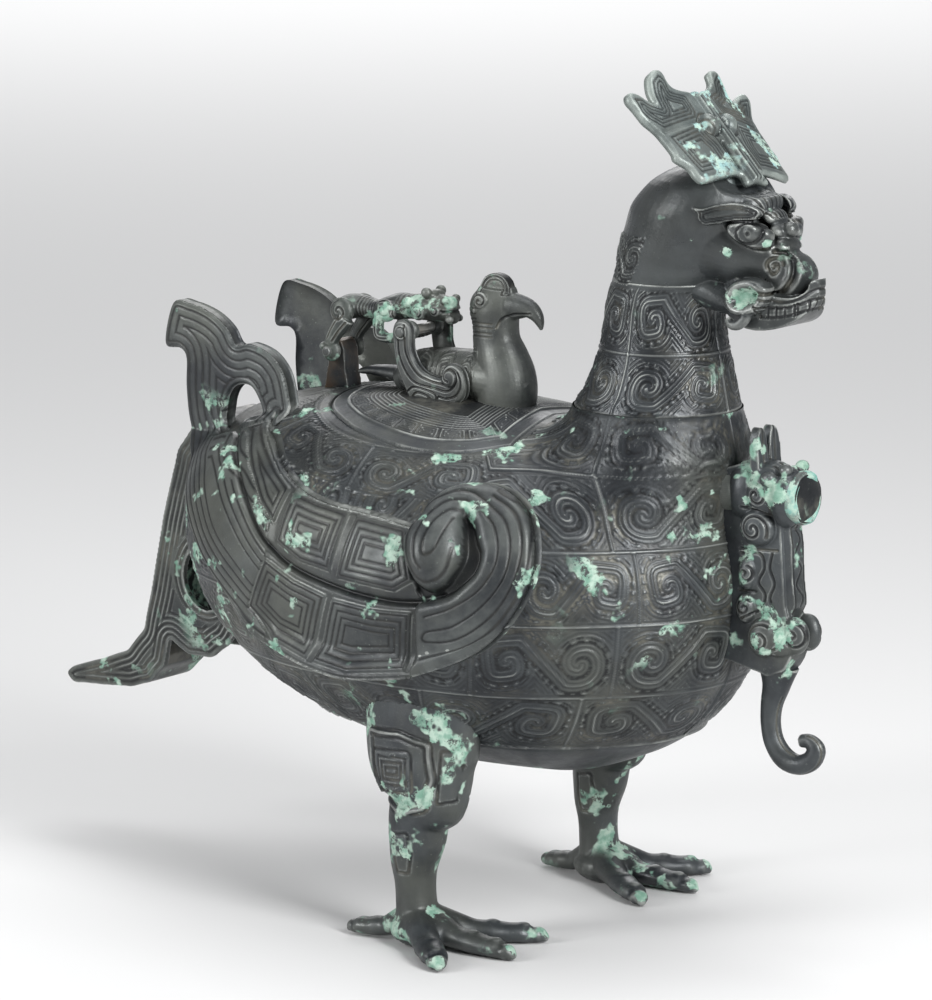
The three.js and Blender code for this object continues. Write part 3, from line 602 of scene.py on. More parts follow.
def make_body_half():
    mouth = to_map(on_top(mouth_side(0)))[::-1]
    ring = to_map(around_neck(neck_foot, 90))
    tail, pole = -np.pi * map_scale, -np.pi / 2 * map_scale
    outline = np.vstack([
        mouth, split([mouth[-1], ring[0]], 1.2, False)[1:-1], ring,
        split([ring[-1], [0, -70]], 1.2, False)[1:], [[0, -100], [0, -130], [0, pole]],
        [[tail, pole], [tail, -130], [tail, -100]], split([[tail, -70], mouth[0]], 1.2, False)[:-1]])

    def keep(q, ij):
        p = from_map(q)
        under = within(p[:, [0, 2]], wing_outline) & (away(p[:, [0, 2]], wing_outline, True) > 3)
        fine = (p[:, 2] > 80) & ~under
        return fine | ((ij[:, 0] % 5 == 0) & (ij[:, 1] % 4 == 0))

    def relief(q):
        return skin_relief(from_map(q))

    return plate("body_right", [outline], fine_step, from_map, lambda q: from_map(q, wall), relief, 6.0, keep)


body_right = make_body_half()
for half in (body_right, mirror("body_left", body_right)):
    finish_piece(half, "vessel", "body_bronze", "body_shell")

# %% [markdown]
# ## The ledge under the lid
# Inside the mouth runs a narrow ledge. The lid lies on it, so that its top is flush with the back.
# It is a flat ring, bent to the skin of the back and set a little lower.

# %% Mouth ledge
def under_skin(depth):
    return lambda q: on_top(q) - [0, 0, depth]


ledge = plate("mouth_ledge", [mouth_loop(2.5, 1.5), mouth_loop(-4.6, 1.5)], 1.6, under_skin(3.3),
              under_skin(6.2))
finish_piece(ledge, "vessel", "body_bronze", "body_shell")

# %% [markdown]
# ## The neck
# The neck is a tall tube of ovals with two rows of scrolls. It is modelled as rings of
# points, outside going up and inside coming down, joined all the way round into one closed skin.
# Rings keep the points evenly spaced, which the fine scrolls need.

# %% Neck
def tube(rings):
    rings = [np.asarray(r, float) for r in rings]
    n, m = len(rings[0]), len(rings)
    k = np.arange(n)
    nxt = (k + 1) % n
    faces = []
    for r in range(m):
        a, b = r * n, ((r + 1) % m) * n
        faces += [np.stack([a + k, a + nxt, b + nxt], 1), np.stack([a + k, b + nxt, b + k], 1)]
    return np.vstack(rings), np.vstack(faces)


def neck_ring(z, count, inset=0.0):
    turn = np.linspace(0, 2 * np.pi, count, endpoint=False)
    aim = np.stack([np.cos(turn), np.sin(turn), np.zeros(count)], 1)
    start = np.array([float(neck_x(z)), 0, z])
    return reach_skin(start, aim, 2, 70, inset)


ring_points = 420
heights = np.linspace(neck_foot + 0.06, head_foot + 1, 104)
outside = [neck_ring(z, ring_points) for z in heights]
inside = [neck_ring(z, ring_points, wall) for z in heights[::-12]]
points, faces = tube(outside + inside)
skin_count = ring_points * len(heights)
lift, shade = skin_relief(points[:skin_count])
out = normals(points, faces)[:skin_count]
if (out * (points[:skin_count] - [95, 0, 0]))[:, :2].sum() < 0:
    out = -out
points[:skin_count] += out * lift[:, None]
neck = new_piece("neck", points, faces, shade)
finish_piece(neck, "vessel", "neck_bronze", "neck_head")

# %% [markdown]
# ## Working in clay
# A head or a claw is easier to build the way its wax model was: lumps and rolls pressed together,
# smoothed, and then cut with a tool. `lump`, `roll` and `slab` make the simple volumes, and `clay`
# joins them and remeshes the whole into one even skin. `drawn` reads its points in the drawing's
# millimetres, and `redraw` puts changed points back.

# %% Helpers: clay
def lump(place, size, turn=(0, 0, 0), detail=24):
    bpy.ops.mesh.primitive_uv_sphere_add(segments=detail, ring_count=detail // 2, radius=1)
    made = bpy.context.object
    made.scale = [s * 0.001 for s in size]
    made.rotation_euler = [math.radians(a) for a in turn]
    made.location = ((place[0] + shift) * 0.001, place[1] * 0.001, place[2] * 0.001)
    bpy.ops.object.transform_apply(location=True, rotation=True, scale=True)
    return made


def roll(stations, sides=20, step=1.5):
    s = np.asarray(stations, float)
    if s.shape[1] == 4:
        s = np.hstack([s, s[:, 3:]])
    line = smooth(s, step)
    centre, a, b = line[:, :3], line[:, 3], line[:, 4]
    along = np.gradient(centre, axis=0)
    along /= np.linalg.norm(along, axis=1)[:, None]
    side = np.array([0, 1, 0]) - along * along[:, 1:2]
    bad = np.linalg.norm(side, axis=1) < 0.2
    side[bad] = [1, 0, 0] - along[bad] * along[bad, :1]
    side /= np.linalg.norm(side, axis=1)[:, None]
    up = np.cross(along, side)
    turn = np.linspace(0, 2 * np.pi, sides, endpoint=False)
    rings = (centre[:, None] + up[:, None] * (a[:, None, None] * np.cos(turn)[None, :, None])
             + side[:, None] * (b[:, None, None] * np.sin(turn)[None, :, None]))
    m = len(rings)
    k = np.arange(sides)
    nxt = (k + 1) % sides
    faces = [np.stack([r * sides + k, r * sides + nxt, (r + 1) * sides + nxt], 1) for r in range(m - 1)]
    faces += [np.stack([r * sides + k, (r + 1) * sides + nxt, (r + 1) * sides + k], 1) for r in range(m - 1)]
    hubs = m * sides
    faces += [np.stack([nxt, k, np.full(sides, hubs)], 1),
              np.stack([(m - 1) * sides + k, (m - 1) * sides + nxt, np.full(sides, hubs + 1)], 1)]
    return new_piece("roll", np.vstack([rings.reshape(-1, 3), centre[:1], centre[-1:]]), np.vstack(faces))


def slab(outline, y0, y1):
    points, faces, _ = closed_plate([np.asarray(outline, float)], 4.0, at_side(y0), at_side(y1))
    return new_piece("slab", points, faces)


def clay(name, parts, voxel, soften=2):
    bpy.ops.object.select_all(action="DESELECT")
    for part in parts:
        part.select_set(True)
    bpy.context.view_layer.objects.active = parts[0]
    bpy.ops.object.join()
    piece = bpy.context.object
    piece.name = piece.data.name = name
    remesh = piece.modifiers.new("one skin", "REMESH")
    remesh.mode, remesh.voxel_size = "VOXEL", voxel * 0.001
    bpy.ops.object.modifier_apply(modifier="one skin")
    soft = piece.modifiers.new("soften", "SMOOTH")
    soft.factor, soft.iterations = 0.5, soften
    bpy.ops.object.modifier_apply(modifier="soften")
    piece.data.shade_smooth()
    return piece


def drawn(piece):
    co = np.empty(len(piece.data.vertices) * 3, np.float32)
    piece.data.vertices.foreach_get("co", co)
    return co.reshape(-1, 3).astype(float) * 1000 - [shift, 0, 0]


def redraw(piece, p):
    piece.data.vertices.foreach_set("co", to_frame(p).astype(np.float32).ravel())
    piece.data.update()


# %% [markdown]
# ## Cutting lines and growing corrosion
# The fine lines of a cast vessel are there before the metal is poured, and we cut ours into the
# clay. `carve` moves its skin in and out along the normals by the height that a function gives.
# Inside such a function, `graver` hands us a cutting tool with a usual width and depth, and
# `plate_graver` does so for a flat plate. `spiral` draws a spiral line to cut along. `verdigris`
# marks round spots, as a value per point, where the finish lets green corrosion grow.

# %% Helpers: carving
def carve(piece, relief):
    p = drawn(piece)
    n = np.empty(len(p) * 3, np.float32)
    piece.data.vertices.foreach_get("normal", n)
    n = n.reshape(-1, 3).astype(float)
    lift, shade = relief(p, n)
    redraw(piece, p + n * lift[:, None])
    # The second value is stored per point; the finish paints shade and lays dust with it.
    store = piece.data.attributes.get("recess_shade_and_dust") or piece.data.attributes.new("recess_shade_and_dust", "FLOAT", "POINT")
    store.data.foreach_set("value", np.clip(shade, 0, 1).astype(np.float32))


def verdigris(piece, spots):
    p = drawn(piece)
    amount = np.zeros(len(p))
    for x, y, z, r in spots:
        amount = np.maximum(amount, 1 - step_up(np.linalg.norm(p - [x, y, z], axis=1), 0.1 * r, 1.6 * r))
    store = piece.data.attributes.new("verdigris", "FLOAT", "POINT")
    store.data.foreach_set("value", amount.astype(np.float32))


def spiral(centre, radius, turns, start=0.0, way=1, inner=0.4, step=0.5):
    count = int(radius * turns * 7 / step) + 8
    t = np.linspace(0, 1, count)
    angle = np.radians(start) + way * 2 * np.pi * turns * t
    r = inner + (radius - inner) * t**0.85
    return np.stack([centre[0] + r * np.cos(angle), centre[1] + r * np.sin(angle)], 1)


# The second value is painted shade, with dust, at the bottom of the cut line.
def engraved(distance, width, depth):
    cut = ridge(distance, width)
    return -depth * cut, np.clip(cut * 1.4, 0, 1)


def graver(lift, shade, usual_width, usual_depth):
    def cut(distance, on, width=usual_width, depth=usual_depth):
        a, b = engraved(distance, width, depth)
        lift[on] += a
        shade[on] = np.maximum(shade[on], b)
    return cut


def plate_graver(lift, shade):
    def cut(distance, width=0.38, depth=0.5, on=1.0):
        a, b = engraved(distance, width, depth)
        np.add(lift, a * on, out=lift)
        np.maximum(shade, b * on, out=shade)
    return cut


# %% [markdown]
# ## The head
# A smooth round skull runs forward into a short trunk that ends in a ball. The
# lower jaw is a scoop with a curled cup on each side and an upturned tip. Two almond eyes sit
# under flat engraved brows, and the bridge of the nose is wrinkled into rings.

# %% Head: skull, jaw and brow
def skull():
    rings = []
    for z in np.concatenate([np.linspace(259, 312, 28), [314.5, 316.5, 318, 318.8]]):
        turn = np.linspace(0, 2 * np.pi, 48, endpoint=False)
        thin = 0.1 + 0.9 * (z < 270.5)
        x, y = neck_x(z) + (neck_a(z) - thin) * np.cos(turn), (neck_b(z) - thin) * np.sin(turn)
        rings.append(np.stack([x, y, np.full(48, z)], 1))
    rings = [rings[0] * [0, 0, 1] + [99, 0, 0], *rings, rings[-1] * [0, 0, 1] + [123, 0, 0.2]]
    return new_piece("skull", *tube(rings))


jaw_side = smooth([(133, 272), (133, 262), (139, 257.8), (147, 255.6), (157, 256.4), (164.6, 259.6),
                   (169.2, 264.2), (171.8, 270), (171.6, 275.4), (169.6, 275.8), (168, 271.6), (164, 269.2),
                   (158, 269.4), (151, 271.4), (142, 274)], 1.2, True)


def jaw_half_width(x):
    return np.interp(x, [130, 140, 150, 157, 163, 167, 169.6, 171, 172],
                     [9, 13, 14.4, 13, 10.8, 8.2, 5.6, 3.6, 2])


brow = smooth([(127.8, 303.4), (131.6, 303.2), (136, 304.6), (142, 305.6), (147.6, 304.6), (150.8, 302.2),
               (149, 299.4), (143, 298.8), (136.8, 297.6), (132.4, 297), (130.2, 299.2), (130, 301.4)], 0.7,
               True)


def brow_plan(x):
    return np.interp(x, [125, 130, 137, 145, 152], [26.4, 25.2, 22.2, 17.4, 12.0])


# %% [markdown]
# ## The head as clay
# The skull, the trunk, the ball at its end, the throat, the jaw, the eyes and the cups are pressed
# together. We could pull one mesh into shape in sculpt mode, but a list of simple volumes can be
# moved by number until the outline meets the photograph. The crown is cut flat along the slope on
# which the crest lies.

# %% Head: the clay
crest_x, crest_z = 138.5, 311


def head_clay():
    parts = [skull(),
             roll([(112, 0, 290, 21, 24), (128, 0, 288.4, 18.6, 22), (139, 0, 284.6, 15, 17.4),
                   (148, 0, 281.6, 11.2, 12.8), (154, 0, 279, 9.4, 9.6), (158, 0, 277.4, 8.6, 9)], sides=40),
             lump((157.4, 0, 276.6), (9.3, 11.4, 9.5), detail=40),
             lump((143, 0, 303.6), (6.4, 12.4, 6.4), (0, 42, 0), detail=32),
             roll([(110, 0, 274, 12, 14), (124, 0, 268.8, 9, 14), (136, 0, 264.5, 6.5, 13),
                   (146, 0, 262, 5, 10)], sides=28)]
    jaw = slab(jaw_side, -17.5, 17.5)
    p = drawn(jaw)
    p[:, 1] *= jaw_half_width(p[:, 0]) / 17.5
    redraw(jaw, p)
    parts.append(jaw)
    for z, x, r in ((299, 149.6, 7.2), (294, 153, 7), (288.8, 155.6, 7.2)):
        parts.append(lump((x, 0, z), (4.2, r, 2.9), (0, 36, 0)))
    parts.append(lump((156.6, 0, 294.4), (3.4, 3.6, 3.2)))
    for side in (-1, 1):
        face = lambda grow: lambda q: np.column_stack([q[:, 0], side * (brow_plan(q[:, 0]) + grow), q[:, 1]])
        points, faces, _ = closed_plate([brow if side < 0 else brow[::-1]], 2.0, face(0.7), face(-4.0))
        parts += [new_piece("brow", points, faces),
                  lump((147.4, side * 14.2, 293.4), (9.4, 4.2, 5.2), (side * 12, 14, side * -38)),
                  lump((148.4, side * 15.8, 294.0), (4.0, 3.6, 3.8), (0, 0, side * -38)),
                  lump((147, side * 14.6, 268.6), (10.6, 6.4, 7.6), (0, -18, 0), detail=32),
                  roll([(148.6, side * 16.6, 263.4, 1.9), (147.2, side * 17.8, 260.2, 2.2),
                        (144.6, side * 18.4, 257.9, 2.1), (141.4, side * 18.4, 257.8, 1.9),
                        (139.4, side * 17.8, 260, 1.4)], step=0.8),
                  roll([(151.4, side * 16, 266, 2.2), (153.4, side * 15.4, 269, 1.7),
                        (155.4, side * 14.4, 271.8, 1.0)], step=0.8)]
    head = clay("head", parts, 0.54, 3)
    p = drawn(head)
    out_x, out_z = 0.712, 0.703
    past_crest = (p[:, 0] - crest_x) * out_x + (p[:, 2] - crest_z) * out_z + 3.4
    past_crest = np.maximum(past_crest, 0) * step_up(p[:, 2], 306, 313)
    p[:, 0] -= past_crest * out_x
    p[:, 2] -= past_crest * out_z
    redraw(head, p)
    return head


head = head_clay()

# %% [markdown]
# ## The head's engraving
# A spiral and a ring mark the trunk, the cups are hollowed, and short bars make teeth along the jaw.
# The eyes get a rim and a pupil, the brows two frames, and the scrolls of the neck climb the nape.
# A painted texture would be quicker, but lines that are really cut catch the light.

# %% Head: the engraving
snout = spiral((155.6, 280.6), 3.9, 1.5, 200, -1)
lean = np.array([[math.cos(0.3), math.sin(0.3)], [-math.sin(0.3), math.cos(0.3)]])
lip = smooth([(153, 269), (158, 267.6), (163, 267.6), (167, 269.2), (170, 271.6), (173, 273)], 0.8)
tooth_line = smooth([(152, 265.4), (158, 265), (163, 265.4), (167, 266.8), (170, 268.2), (173, 269.2)], 0.8)
low_line = smooth([(149, 261.2), (157, 261.2), (163, 262.2), (167, 263.6), (173, 265.6)], 0.8)
ball_edge = smooth([(154.6, 286.4), (159.4, 285.4), (163.0, 281.6), (163.4, 277), (160.8, 272.6),
                    (157.2, 270.6), (152.4, 271.2)], 0.8)
rim = smooth([(138.5, 296.6), (143.6, 298.4), (150.7, 298), (156, 293.6), (157, 288.8), (153, 287.6),
              (148.2, 288.2), (142.6, 291.6)], 0.8, True)


def head_relief(p, n):
    lift, shade = np.zeros(len(p)), np.zeros(len(p))
    cut = graver(lift, shade, 0.45, 0.55)
    y, xz = np.abs(p[:, 1]), p[:, [0, 2]]
    side = (y > 4) & (p[:, 0] > 147) & (p[:, 2] > 270)
    cut(away(xz[side], snout), side, 0.7, 1.3)
    cut(away(xz[side], ball_edge), side, 0.8, 1.4)
    lift[side] += 0.7 * ridge(away(xz[side], ball_edge) - 1.7, 0.9)
    side = (y > 9) & (p[:, 0] > 133) & (p[:, 0] < 160) & (p[:, 2] < 278)
    across = (xz[side] - [147, 268.8]) @ lean.T / [7.4, 4.9]
    inside_cup = np.hypot(across[:, 0], across[:, 1])
    lift[side] -= 4.6 * (1 - step_up(inside_cup, 0.8, 1.05)) * step_up(y[side], 12, 16)
    # Painted shade fills the hollow of each cup.
    shade[side] = np.maximum(shade[side], 0.75 * (1 - step_up(inside_cup, 0.7, 1.0)))
    lift[side] += 0.6 * ridge((inside_cup - 1.22) * 6, 0.9)
    side = (p[:, 0] > 151.5) & (p[:, 2] < 279) & (n[:, 0] + np.abs(n[:, 1]) > 0.35)
    cut(away(xz[side], lip), side)
    cut(away(xz[side], tooth_line), side)
    cut(away(xz[side], low_line), side)
    band = (p[:, 0] > 152) & (p[:, 2] > 261) & (p[:, 2] < 270) & (n[:, 0] + np.abs(n[:, 1]) > 0.35)
    band[band] = away(xz[band], tooth_line) + away(xz[band], low_line) < 4.6
    across = np.where(p[band, 0] < 165.5, p[band, 0], 165.5 + 8 - y[band])
    cut(np.abs(np.mod(across, 3.2) - 1.6), band, 0.32, 0.5)
    eye = (y > 8.5) & (p[:, 0] > 134) & (p[:, 0] < 160) & (p[:, 2] > 285) & (p[:, 2] < 299.6)
    d = away(xz[eye], rim)
    cut(d, eye, 0.5, 0.7)
    lift[eye] += 0.5 * ridge(d - 1.5, 0.7)
    d = np.abs(np.hypot((p[eye, 0] - 148.6) / 1.1, p[eye, 2] - 294.0) - 3.9)
    cut(d, eye, 0.45, 0.6)
    cut(np.hypot(p[eye, 0] - 149, p[eye, 2] - 294.1), eye, 0.7, 0.6)
    on = (y > 11) & within(xz, brow)
    d = away(xz[on], brow, True)
    for level in (1.0, 2.1):
        cut(d - level, on, 0.26, 0.4)
    on = (p[:, 2] > 299) & (p[:, 2] < 309.6) & (y < 13) & (p[:, 0] > 137) & (n[:, 0] > 0.1)
    spread = np.arctan2(y[on], p[on, 2] - 291)
    cut(np.abs(np.mod(spread, 0.22) - 0.11) * np.hypot(y[on], p[on, 2] - 291), on, 0.34, 0.6)
    back = (p[:, 0] < neck_x(p[:, 2]) - 4) & (p[:, 2] < 290)
    a, b = skin_relief(p[back])
    fade = step_up(neck_x(p[back, 2]) - 4 - p[back, 0], 0, 3)
    lift[back] += a * fade
    shade[back] = np.maximum(shade[back], b * fade)
    return lift, shade


carve(head, head_relief)
verdigris(head, [(x, side * y, z, r) for side in (-1, 1) for x, y, z, r in
                 ((144.6, 15.6, 268.6, 7), (150, 15.6, 270, 4.5), (139, 19, 286, 3.4), (126, 22, 292, 3),
                  (154, 12.5, 289, 2.6))])
finish_piece(head, "vessel", "neck_bronze", "neck_head")

# %% [markdown]
# ## The crest
# The crest is a flat casting that leans back from the crown, with four horns whose tips curl
# forward. We draw half of its outline, mirror it, and place the sheet on a sloping plane. Every
# engraved line is a distance: to the rim, to a panel, or to the middle.

# %% Crest
crest_half = [(0, -1), (7, -1.6), (8.4, 3), (27, 2.2), (30.6, 4.4), (31, 9), (34.2, 13.6), (33.4, 16.4),
              (33.8, 22), (34.6, 26.5), (37.6, 33), (40.8, 39), (38.8, 42.2), (34, 41.4), (29.6, 39.2),
              (26.6, 37.2), (25.8, 43), (23.8, 47.6), (19.6, 49.2), (15.6, 48.2), (14.2, 44.2), (9.6, 41.6),
              (5, 40.6), (0, 38.6)]


def on_slope(depth):
    def place(q):
        y, v = q[:, 0], q[:, 1]
        tips = np.array([(39, 40.5), (20, 48.5)])
        d = np.min([np.hypot(np.abs(y) - a, v - b) for a, b in tips], axis=0)
        n = 3.2 + 3.4 * (1 - step_up(d, 0, 11)) - 0.0045 * y**2 - depth
        y, v = (y + (v - 20) * 0.1) * 0.94 + 2.2, v - y * 0.1
        return np.stack([crest_x - 0.79 * v + 0.71 * n, y, crest_z + 0.8 * v + 0.7 * n], 1)
    return place


def crest_relief(q):
    y, v = np.abs(q[:, 0]), q[:, 1]
    p = np.stack([y, v], 1)
    edge = away(q, crest_outline, True)
    lift, shade = np.zeros(len(q)), np.zeros(len(q))
    cut = plate_graver(lift, shade)
    lift -= 0.9 * (1 - step_up(edge, 0, 1.0))
    low = [(8.6, 5.4), (28, 4.6), (29.4, 10), (31.6, 23.2), (12.4, 26.2), (8.2, 16)]
    inside = within(p, low)
    d = away(p, low, True)
    for level in (1.4, 3.1, 4.8, 6.5):
        cut(d - level, on=inside)
    high = [(11, 28.4), (30.4, 26.2), (36.6, 34), (38.6, 39.4), (33, 39), (25.4, 34.4), (23.4, 45),
            (19.6, 47), (16.4, 44.6), (15.6, 41), (8, 38.4), (8.6, 31)]
    inside = within(p, high)
    d = away(p, high, True)
    for level in (0.6, 2.1, 3.5, 4.9):
        cut(d - level, on=inside)
    lift -= 0.9 * ridge(away(p, [(9.4, 27.4), (31.4, 25)]), 0.9)
    middle = (v > -1) & (v < 40)
    lift += 1.7 * (1 - step_up(y, 2.4, 3.4)) * middle
    cut(y - 1.1, 0.3, 0.5, middle)
    cut(away(p, [(5.6, 5.5), (5.2, 17)]), 0.9, 2.4)
    cut(away(p, [(7.6, 4.5), (7.4, 22), (10.4, 27)]), 0.4, 0.5)
    eye = np.hypot(y - 6.4, v - 25)
    lift += 3.6 * np.sqrt(np.clip(1 - (eye / 4.2) ** 2, 0, 1))
    cut(eye - 5.0, 0.45, 0.5)
    return lift, shade


half = smooth(crest_half, 0.8)
half[0, 0] = half[-1, 0] = 0
crest_outline = np.vstack([half, (half[1:-1] * [-1, 1])[::-1]])
crest = plate("crest", [crest_outline], 0.6, on_slope(0), on_slope(2.8), crest_relief)
foot_roll = roll([(129, 0, 306, 4, 9), (131, 0, 311, 3.6, 9), (129.5, 0, 316, 3, 7)], sides=16)
for piece in (crest, clay("crest_foot", [foot_roll], 0.8)):
    finish_piece(piece, "vessel", "crest_bronze", "head_crest")

# %% [markdown]
# ## The wings
# A wing hugs the flank and ends behind in a flag that stands free. Its arms part along a deep slot;
# the upper one ends in a round boss, and the lower one curls round that boss. The flat drawing
# is made in side view, and each point then slides sideways until it meets the surface of the wing.

# %% Wing: the surface and the drawing
def wing_out(x, z):
    a, b = flank(x, z) + 5, 41 + 0.72 * np.maximum(0, 195 - z)
    return 0.5 * (a + b + np.sqrt((a - b) ** 2 + 6)) - 0.4 + step_up(z, 184, 190)


def wing_front(q):
    return np.column_stack([q[:, 0], -wing_out(q[:, 0], q[:, 1]), q[:, 1]])


def wing_back(q):
    x, z = q[:, 0], q[:, 1]
    return np.column_stack([x, -np.maximum(flank(x, z) + 0.35, wing_out(x, z) - 7.5), z])


window = [(-92.5, 199), (-93, 206), (-91, 212), (-87, 215.5), (-81, 215.5), (-77, 211), (-74.4, 204.6),
          (-80, 203)]
slot_line = smooth([(-95.5, 196), (-82, 199.6), (-68.5, 192), (-54.4, 180), (-36, 163.5), (-19.4, 154.4),
                    (6.3, 148.4), (30, 146.4), (46, 147.6), (54, 150.4)], 1.5)
panels = [[(-79, 200.4), (-66, 204.4), (-50, 196.5), (-36, 189), (-28, 184.6), (-31.5, 170), (-42, 177),
           (-55, 188.6), (-68, 198.4)],
          [(-26, 184.4), (-12, 181.6), (5.6, 179.2), (1, 154.6), (-15, 157), (-29.4, 163.4)],
          [(8.4, 178.6), (34, 176.2), (37.8, 166), (41.4, 155.6), (33, 150.4), (3.6, 152.6)],
          [(-34.4, 157), (-46.4, 134.6), (-30, 123.4), (-10.4, 118.4), (-0.6, 145.4), (-18, 150)],
          [(1.8, 144.8), (-7.6, 118), (11, 115.8), (38.6, 119.4), (41.2, 143.4), (22, 143)]]
hollow_edge = smooth([(56, 181), (61, 177.9), (64.6, 172.5), (67.4, 167.2), (66.6, 160.5), (62.4, 155.3),
                      (58, 151.6), (52.7, 149.6), (45, 147.6)], 1.2)
boss_lines = [[(57, 168.4), (56.4, 162), (53.6, 157.8), (48.8, 156.2), (44.6, 158), (41.4, 161.6),
               (38.8, 167), (37.8, 173), (39, 179), (42.2, 184), (48.6, 187.8), (56, 187.6), (62, 185)],
              [(46.6, 160.6), (43.4, 163.8), (41.8, 170), (42.2, 175.4), (44.4, 180.4), (48.2, 184),
               (54.4, 184.8), (60, 182.6)],
              [(53.4, 178.6), (52.2, 173), (51, 167.4), (48.6, 165.4), (46.4, 166.6), (45.6, 172),
               (47.2, 177.4), (50.6, 180.8), (55, 181.4)]]
band_lines = [[(63.1, 181.4), (69.6, 176.4), (73.2, 169.1), (73.1, 161.6), (68.5, 153.6), (59.4, 147.1),
               (48.3, 142.9)],
              [(63.4, 184.1), (72.6, 178.3), (77.3, 169.3), (77.1, 159), (71, 148.8), (60.4, 140.2),
               (48.7, 136.8), (48.6, 133.1), (62, 135.2), (74.4, 145.2), (80.5, 157.1), (81.1, 169.5),
               (75.5, 180.2), (64.1, 186.8)],
              [(64.9, 188.8), (78.6, 181.8), (84, 169.5), (83.8, 156.3), (75.9, 141.2), (63.5, 130.6),
               (47, 124)]]


wing_rim = smooth(wing_outline, 1.1, True)
window_rim = smooth(window, 1.1, True)
ends = [int(np.argmin(np.hypot(*(wing_rim - end).T))) for end in ((42, 118.5), (36.7, 177))]
rim_part = np.roll(wing_rim[::-1], ends[0] + 1, 0)[:(ends[0] - ends[1]) % len(wing_rim) + 1]
boss_side = smooth([(34.8, 171.8), (36.4, 166.3), (40, 159.9), (44, 155.3), (49.6, 152.8), (55, 155.3),
                    (58.2, 160.3), (60.2, 166.2), (58.6, 172.5), (55.4, 179.6)], 1.2)
scroll_edge = np.vstack([rim_part, boss_side, hollow_edge, [(43.4, 146)]])
bowl_edge = np.vstack([hollow_edge, [(40, 158)], boss_side[8:]])

# %% [markdown]
# ## The wing's relief
# The scroll swells up from its edges, most of all at the boss, and the bowl beside the boss is deep
# and gets painted shade. Thin lines run inside each feather panel, along the rim of the stem and along the
# slot.
# All of it is one height over the flat drawing, since it only depends on how far a point lies from
# the drawn edges.

# %% Wing: the relief
def wing_relief(q):
    x, z = q[:, 0], q[:, 1]
    lift, shade = np.zeros(len(q)), np.zeros(len(q))
    cut = plate_graver(lift, shade)
    rim, hole, slot = away(q, wing_rim, True), away(q, window_rim, True), away(q, slot_line)
    on_scroll = within(q, scroll_edge)
    d = away(q, scroll_edge, True)
    plain = ~on_scroll & (d > 0.5)
    centre = np.exp(-((x - 47.4) ** 2 + (z - 167) ** 2) / 190)
    inward = np.clip(d / (3.6 + 4 * centre), 0, 1)
    lift += on_scroll * (4.0 + 4.4 * centre) * np.sqrt(np.clip(1 - (1 - inward) ** 2, 0, 1))
    bowl = ~on_scroll & within(q, bowl_edge)
    lift[bowl] -= 2.4 * step_up(away(q[bowl], bowl_edge, True), 0, 1.2)
    # Painted shade in the bowl beside the boss.
    shade[bowl] = np.maximum(shade[bowl], 0.8)
    for line in boss_lines + band_lines:
        cut(away(q, smooth(line, 1)), 0.5, 0.42, on_scroll)
    in_panel = np.zeros(len(q), bool)
    for panel in panels:
        on = within(q, panel) & ~on_scroll
        d = away(q, panel, True)
        in_panel |= on
        lift -= on * 1.1 * (1 - step_up(d, 0, 1.4))
        for level in (1.9, 4.6, 7.2, 9.8):
            cut(d - level, 0.44, 0.3, on)
    gap = ~in_panel & ~on_scroll & ~bowl & (x > -34) & (rim > 0.1)
    lift -= 1.1 * gap * step_up(x, -36, -30)
    # Painted shade on the lowered gap between the panels.
    shade[gap] = np.maximum(shade[gap], 0.35)
    stem = ~in_panel & ~gap & ~on_scroll & ~bowl
    for level in (2.6, 6.2, 9.8, 13.4, 17):
        cut(rim - level, 0.44, 0.3, stem & (hole > 3.2))
    cut(hole - 3, 0.44, 0.3, stem & (rim > 2.6))
    for level in (3.6, 7.2, 10.8):
        cut(slot - level, 0.44, 0.3, stem & (rim > 19) & (x > -100))
    lift -= 2.6 * ridge(slot, 1.25) * ~on_scroll
    # Painted shade along the slot.
    shade[:] = np.maximum(shade, ridge(slot, 1.2) * ~on_scroll)
    lift -= 1.7 * (1 - step_up(np.minimum(rim, hole), 0, 1.6)) * plain
    return lift, shade


wing_step = 0.54
wing = plate("right_wing_cast", [wing_rim, window_rim[::-1]], wing_step, wing_front, wing_back, wing_relief)
finish_piece(wing, "vessel", "right_wing_bronze", "right_wing")
finish_piece(mirror("left_wing_cast", wing), "vessel", "left_wing_bronze", "left_wing")

# %% [markdown]
# ## The tail
# The tail is a hollow box that opens downwards, with a scroll-shaped hole in each side. We set two
# sides and the curved back together as clay, pinch the whole towards its foot and tip, and
# then engrave lines that run along the rim and round the scroll.

# %% Tail
tail_outer = smooth(split([(-104, 196), (-126, 196), (-138, 180), (-147, 150), (-155, 118), (-161, 99),
                           (-172, 88), (-190, 81), (-207, 75.5), (-211, 72), (-207, 68.5), (-188, 70),
                           (-170, 72), (-158, 76), (-150, 84), (-146, 96), (-136, 91), (-124, 91),
                           (-114, 98), (-104, 112), (-99, 130)], 7), 1.2, True)
tail_hollow = smooth([(-104, 192), (-124, 189), (-134, 178), (-143, 150), (-150.5, 120), (-152, 104),
                      (-149, 88)], 1.2)
tail_scroll = smooth([(-131.5, 138), (-136.5, 129), (-136, 120), (-131, 113.5), (-125, 111.5), (-119.5, 114),
                      (-118.5, 120), (-123, 123.5), (-128, 123), (-130, 128), (-126, 135), (-125, 140)], 1,
                      True)


def pinch(p):
    low, back = np.clip((160 - p[:, 2]) / 85, 0, 1), np.clip((-155 - p[:, 0]) / 55, 0, 1)
    return (1 - 0.22 * low) * (1 - 0.55 * back)


